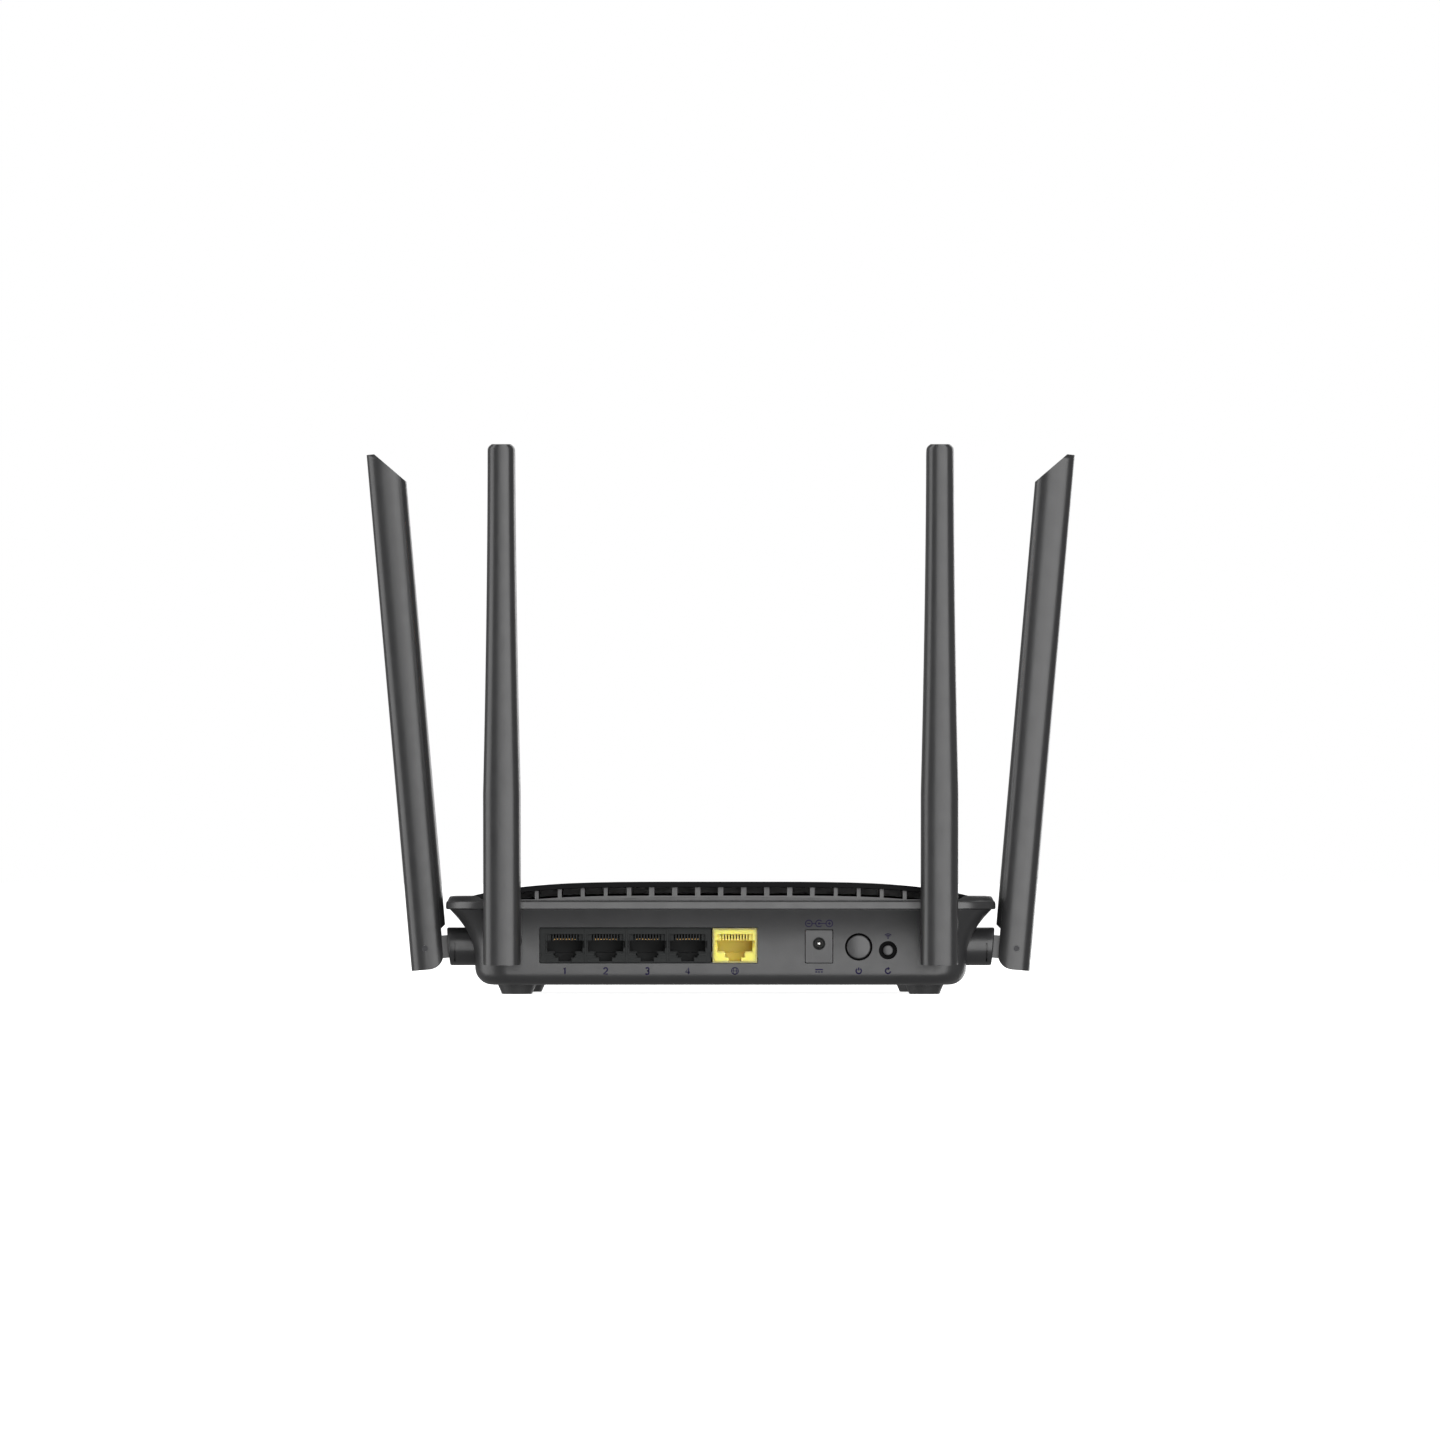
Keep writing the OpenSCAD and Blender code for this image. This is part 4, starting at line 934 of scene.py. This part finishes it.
def antenna_cover():
    """Crowned cover on the inner face; a fine groove parts it from the housing."""
    top = BLADE_TOP - (BLADE_X - TIP_FLAT - FORK_X) * TIP_SLOPE
    joint = FORK_X - 0.04
    side = [(SKIN_GAP - 0.1, COVER_FOOT_Z + 1.4), (joint, COVER_FOOT_Z), (joint, top - 0.08),
            (SKIN_GAP - 0.1, top - (joint - SKIN_GAP + 0.1) * TIP_SLOPE)]
    return combine(blade_body(), prism("side", side, facing_y, -9, 9), "INTERSECT")


def antenna_stub():
    """Round barrel with a leaning end face, and the tongue that carries the hinge eye."""
    angles = turned_angles(72)
    rings = []

    def ring(x, r, lean=0.0):
        rings.append([(x + r * math.sin(a) * lean, r * math.cos(a), r * math.sin(a)) for a in angles])

    for x, r in ((-STUB_LEN, 2.0), (-STUB_LEN, STUB_R - 0.5), (-STUB_LEN + 0.5, STUB_R),
                 (-GROOVE_X - CLIP_T / 2, STUB_R), (-GROOVE_X - CLIP_T / 2, GROOVE_R),
                 (-GROOVE_X + CLIP_T / 2, GROOVE_R), (-GROOVE_X + CLIP_T / 2, STUB_R), (-3.0, STUB_R)):
        ring(x, r)
    slope = math.tan(LEAN)
    for k in range(7):
        a = math.radians(90 * k / 6)
        ring(-0.6 + 0.6 * math.sin(a), STUB_R - 0.6 * (1 - math.cos(a)), slope)
    ring(0.0, 4.4, slope)
    barrel = loft("stub", rings)
    half = TONGUE_H / 2
    eye = [(-1.5, -half)] + arc(PIN_REACH, 0, half, -90, 90, 24) + [(-1.5, half)]
    tongue = prism("tongue", eye, facing_y, -TONGUE_W / 2, TONGUE_W / 2)
    tongue.data.transform(Matrix.Rotation(LEAN, 4, "Y"))
    hole = prism("hole", circle(PIN_REACH, 0, PIN_R + 0.04, 32), facing_y, -4, 4)
    hole.data.transform(Matrix.Rotation(LEAN, 4, "Y"))
    combine(barrel, tongue, "UNION")
    mark = box("mark", (-2.45, -STUB_R - 1, -5.2), (-2.0, STUB_R + 1, 1.1))
    core = loft("core", [[(x, (STUB_R - 0.9) * math.cos(a), (STUB_R - 0.9) * math.sin(a)) for a in angles]
                         for x in (-3.5, -0.9)])
    combine(mark, core, "DIFFERENCE")
    return cut(cut(barrel, hole), mark)


def antennas():
    """Four alike: each shape is made once and copied to its place."""
    lean = Matrix.Rotation(LEAN, 4, "Y")
    shapes = [
        ("housing", antenna_housing(), lean, "blade", "blade", 0.14),
        ("lid", antenna_cover(), lean, "blade", "cover", 0.06),
        ("swivel", antenna_stub(), Matrix.Identity(4), "swivel", "stub", 0.18),
    ]
    for label, shape, local, body, node, edge in shapes:
        for which in TURN:
            copy = bpy.data.objects.new(f"{which}_{label}", shape.data.copy())
            bpy.context.scene.collection.objects.link(copy)
            settle(copy, f"{which}_{body}", "antenna_plastic", [f"{which}_{node}"], edge=edge, sharp=38,
                   matrix=stub_frame(which) @ local)
        bpy.data.objects.remove(shape)


# ------------------------------------------------------------------ carried-over CAD nodes

def dress_cad():
    """Gives every CAD node its finish, and a fine edge to the ones that show no rebuilt piece."""
    edges = {"case_screws": 0.15, "board_screws": 0.12, "shield_can": 0.15, "heat_sink": 0.12,
             "capacitors": 0.3, "processor_chip": 0.1, "memory_chips": 0.1, "transformers": 0.2,
             "inductor": 0.3, "crystal": 0.1}
    for entry in frame["record"]["subparts"]:
        obj = frame["nodes"][entry["node"]]
        obj.data.materials.clear()
        obj.data.materials.append(FINISHES[entry["material_slot"]])
        obj.data.set_sharp_from_angle(angle=math.radians(30))
        if entry["node"] in edges or entry["node"].endswith(("_retainer", "_hinge_pin", "_radiator")):
            bevel = obj.modifiers.new("edges", "BEVEL")
            bevel.width = edges.get(entry["node"], 0.08) * MM
            bevel.segments = 2
            bevel.limit_method = "ANGLE"
            bevel.angle_limit = math.radians(40)


# ------------------------------------------------------------------ studio

def glow(name, strength):
    material = bpy.data.materials.new(name)
    material.use_nodes = True
    nodes, links = material.node_tree.nodes, material.node_tree.links
    nodes.clear()
    emission = nodes.new("ShaderNodeEmission")
    emission.inputs["Color"].default_value = (1, 1, 1, 1)
    emission.inputs["Strength"].default_value = strength
    links.new(emission.outputs[0], nodes.new("ShaderNodeOutputMaterial").inputs["Surface"])
    return material


def softbox(name, azimuth, height, distance, size, radiance, target=(0.0, -0.04, 0.07)):
    """A soft light; its azimuth is in degrees from the camera's side, positive to the right."""
    a, e = math.radians(azimuth), math.radians(height)
    reach = Vector((math.sin(a) * math.cos(e), -math.cos(a) * math.cos(e), math.sin(e))) * distance
    data = bpy.data.lights.new(name, "AREA")
    data.shape = "RECTANGLE"
    data.size, data.size_y = size
    data.energy = radiance * math.pi * size[0] * size[1]
    lamp = bpy.data.objects.new(name, data)
    lamp.location = Vector(target) + reach
    lamp.rotation_euler = (-reach).to_track_quat("-Z", "Y").to_euler()
    lamp.visible_camera = False
    bpy.context.scene.collection.objects.link(lamp)


def studio():
    """A pale floor that glows with painted light, dimmer near the middle, a white backdrop and four soft lights.
    """
    floor_half, dome_r = 30.0, 40.0
    corners = rectangle(-floor_half, floor_half, -floor_half, floor_half)
    floor = make("floor", [(x, y, 0) for x, y in corners], [(0, 1, 2, 3)])
    pale = Finish("floor_pale", (0.90, 0.90, 0.90), 0.9, specular=0.1)
    pale.mottle(40.0, 0.01)
    # Painted light: the floor glows, weakest (0.92) within 0.25 m of the middle and full (1.0) from 1.2 m out, so
    # the far floor stays white where the lamps fall off.
    pale.socket("Emission Color").default_value = (1, 1, 1, 1)
    distance = pale.nodes.new("ShaderNodeVectorMath")
    distance.operation = "LENGTH"
    pale.links.new(pale.place, distance.inputs[0])
    strength = pale.spread(distance.outputs["Value"], 0.92, 1.0, 0.25, 1.2)
    pale.links.new(strength, pale.socket("Emission Strength"))
    floor.data.materials.append(pale.material)
    floor.visible_glossy = False
    floor.visible_diffuse = False
    floor.visible_shadow = False
    rings = []
    for k in range(1, 24):
        a = math.pi * k / 24 - math.pi / 2
        z, r = dome_r * math.sin(a), dome_r * math.cos(a)
        rings.append([(r * math.cos(b), r * math.sin(b), z) for b in turned_angles(48)])
    dome = loft("backdrop", rings)
    dome.data.materials.append(glow("backdrop_white", 1.0))
    for flag in ("visible_diffuse", "visible_glossy", "visible_transmission", "visible_shadow"):
        setattr(dome, flag, False)
    softbox("key", 22, 6, 2.2, (2.4, 2.6), 3.85)
    softbox("rim_left", -80, 6, 1.6, (1.5, 2.4), 2.6)
    softbox("rim_right", 150, 10, 2.0, (0.8, 2.4), 2.5)
    softbox("top", 0, 78, 1.8, (1.6, 1.0), 1.0)
    world = bpy.data.worlds.new("studio")
    world.use_nodes = True
    world.node_tree.nodes["Background"].inputs["Color"].default_value = (1, 1, 1, 1)
    world.node_tree.nodes["Background"].inputs["Strength"].default_value = 0.30
    bpy.context.scene.world = world
    bpy.context.scene.view_settings.view_transform = "Standard"


def camera():
    """A long lens, level, a little above the crown; the shift frames the antennas."""
    distance, height, frame_width = 5.0, 0.044, 0.49147      # the width seen at the port panel
    data = bpy.data.cameras.new("camera")
    data.sensor_width = 36.0
    data.lens = data.sensor_width * distance / frame_width
    data.shift_x, data.shift_y = -0.0005, 0.101
    data.clip_start, data.clip_end = 0.1, 200.0
    cam = bpy.data.objects.new("camera", data)
    cam.location = (0.0, PANEL_Y * MM - distance, height)
    cam.rotation_euler = (math.radians(90), 0, 0)
    bpy.context.scene.collection.objects.link(cam)
    bpy.context.scene.camera = cam


camera()
dress_cad()
base_case()
top_case()
top_cover()
window_strip()
feet()
socket_block("lan_block", LAN_LOW, LAN_HIGH, JACK_XS, "socket_black", "lan_socket", lan_face())
socket_block("wan_block", WAN_LOW, WAN_HIGH, [(WAN_LOW.x + WAN_HIGH.x) / 2], "socket_yellow", "wan_socket",
             wan_face(), 0.12)
power_socket()
flange("power_flange", POWER_LOW, POWER_HIGH, POWER_R, POWER_HOLE_R, "power_button")
flange("reset_flange", RESET_LOW, RESET_HIGH, RESET_R, RESET_HOLE_R, "reset_button")
domed_cap("power_cap", POWER_LOW, POWER_HIGH, POWER_R, 0.35, 0.45, "power_button", "power_button")
domed_cap("reset_cap", RESET_LOW, RESET_HIGH, RESET_R, 0.12, 0.3, "reset_button", "reset_button")
port_marks()
antennas()
studio()
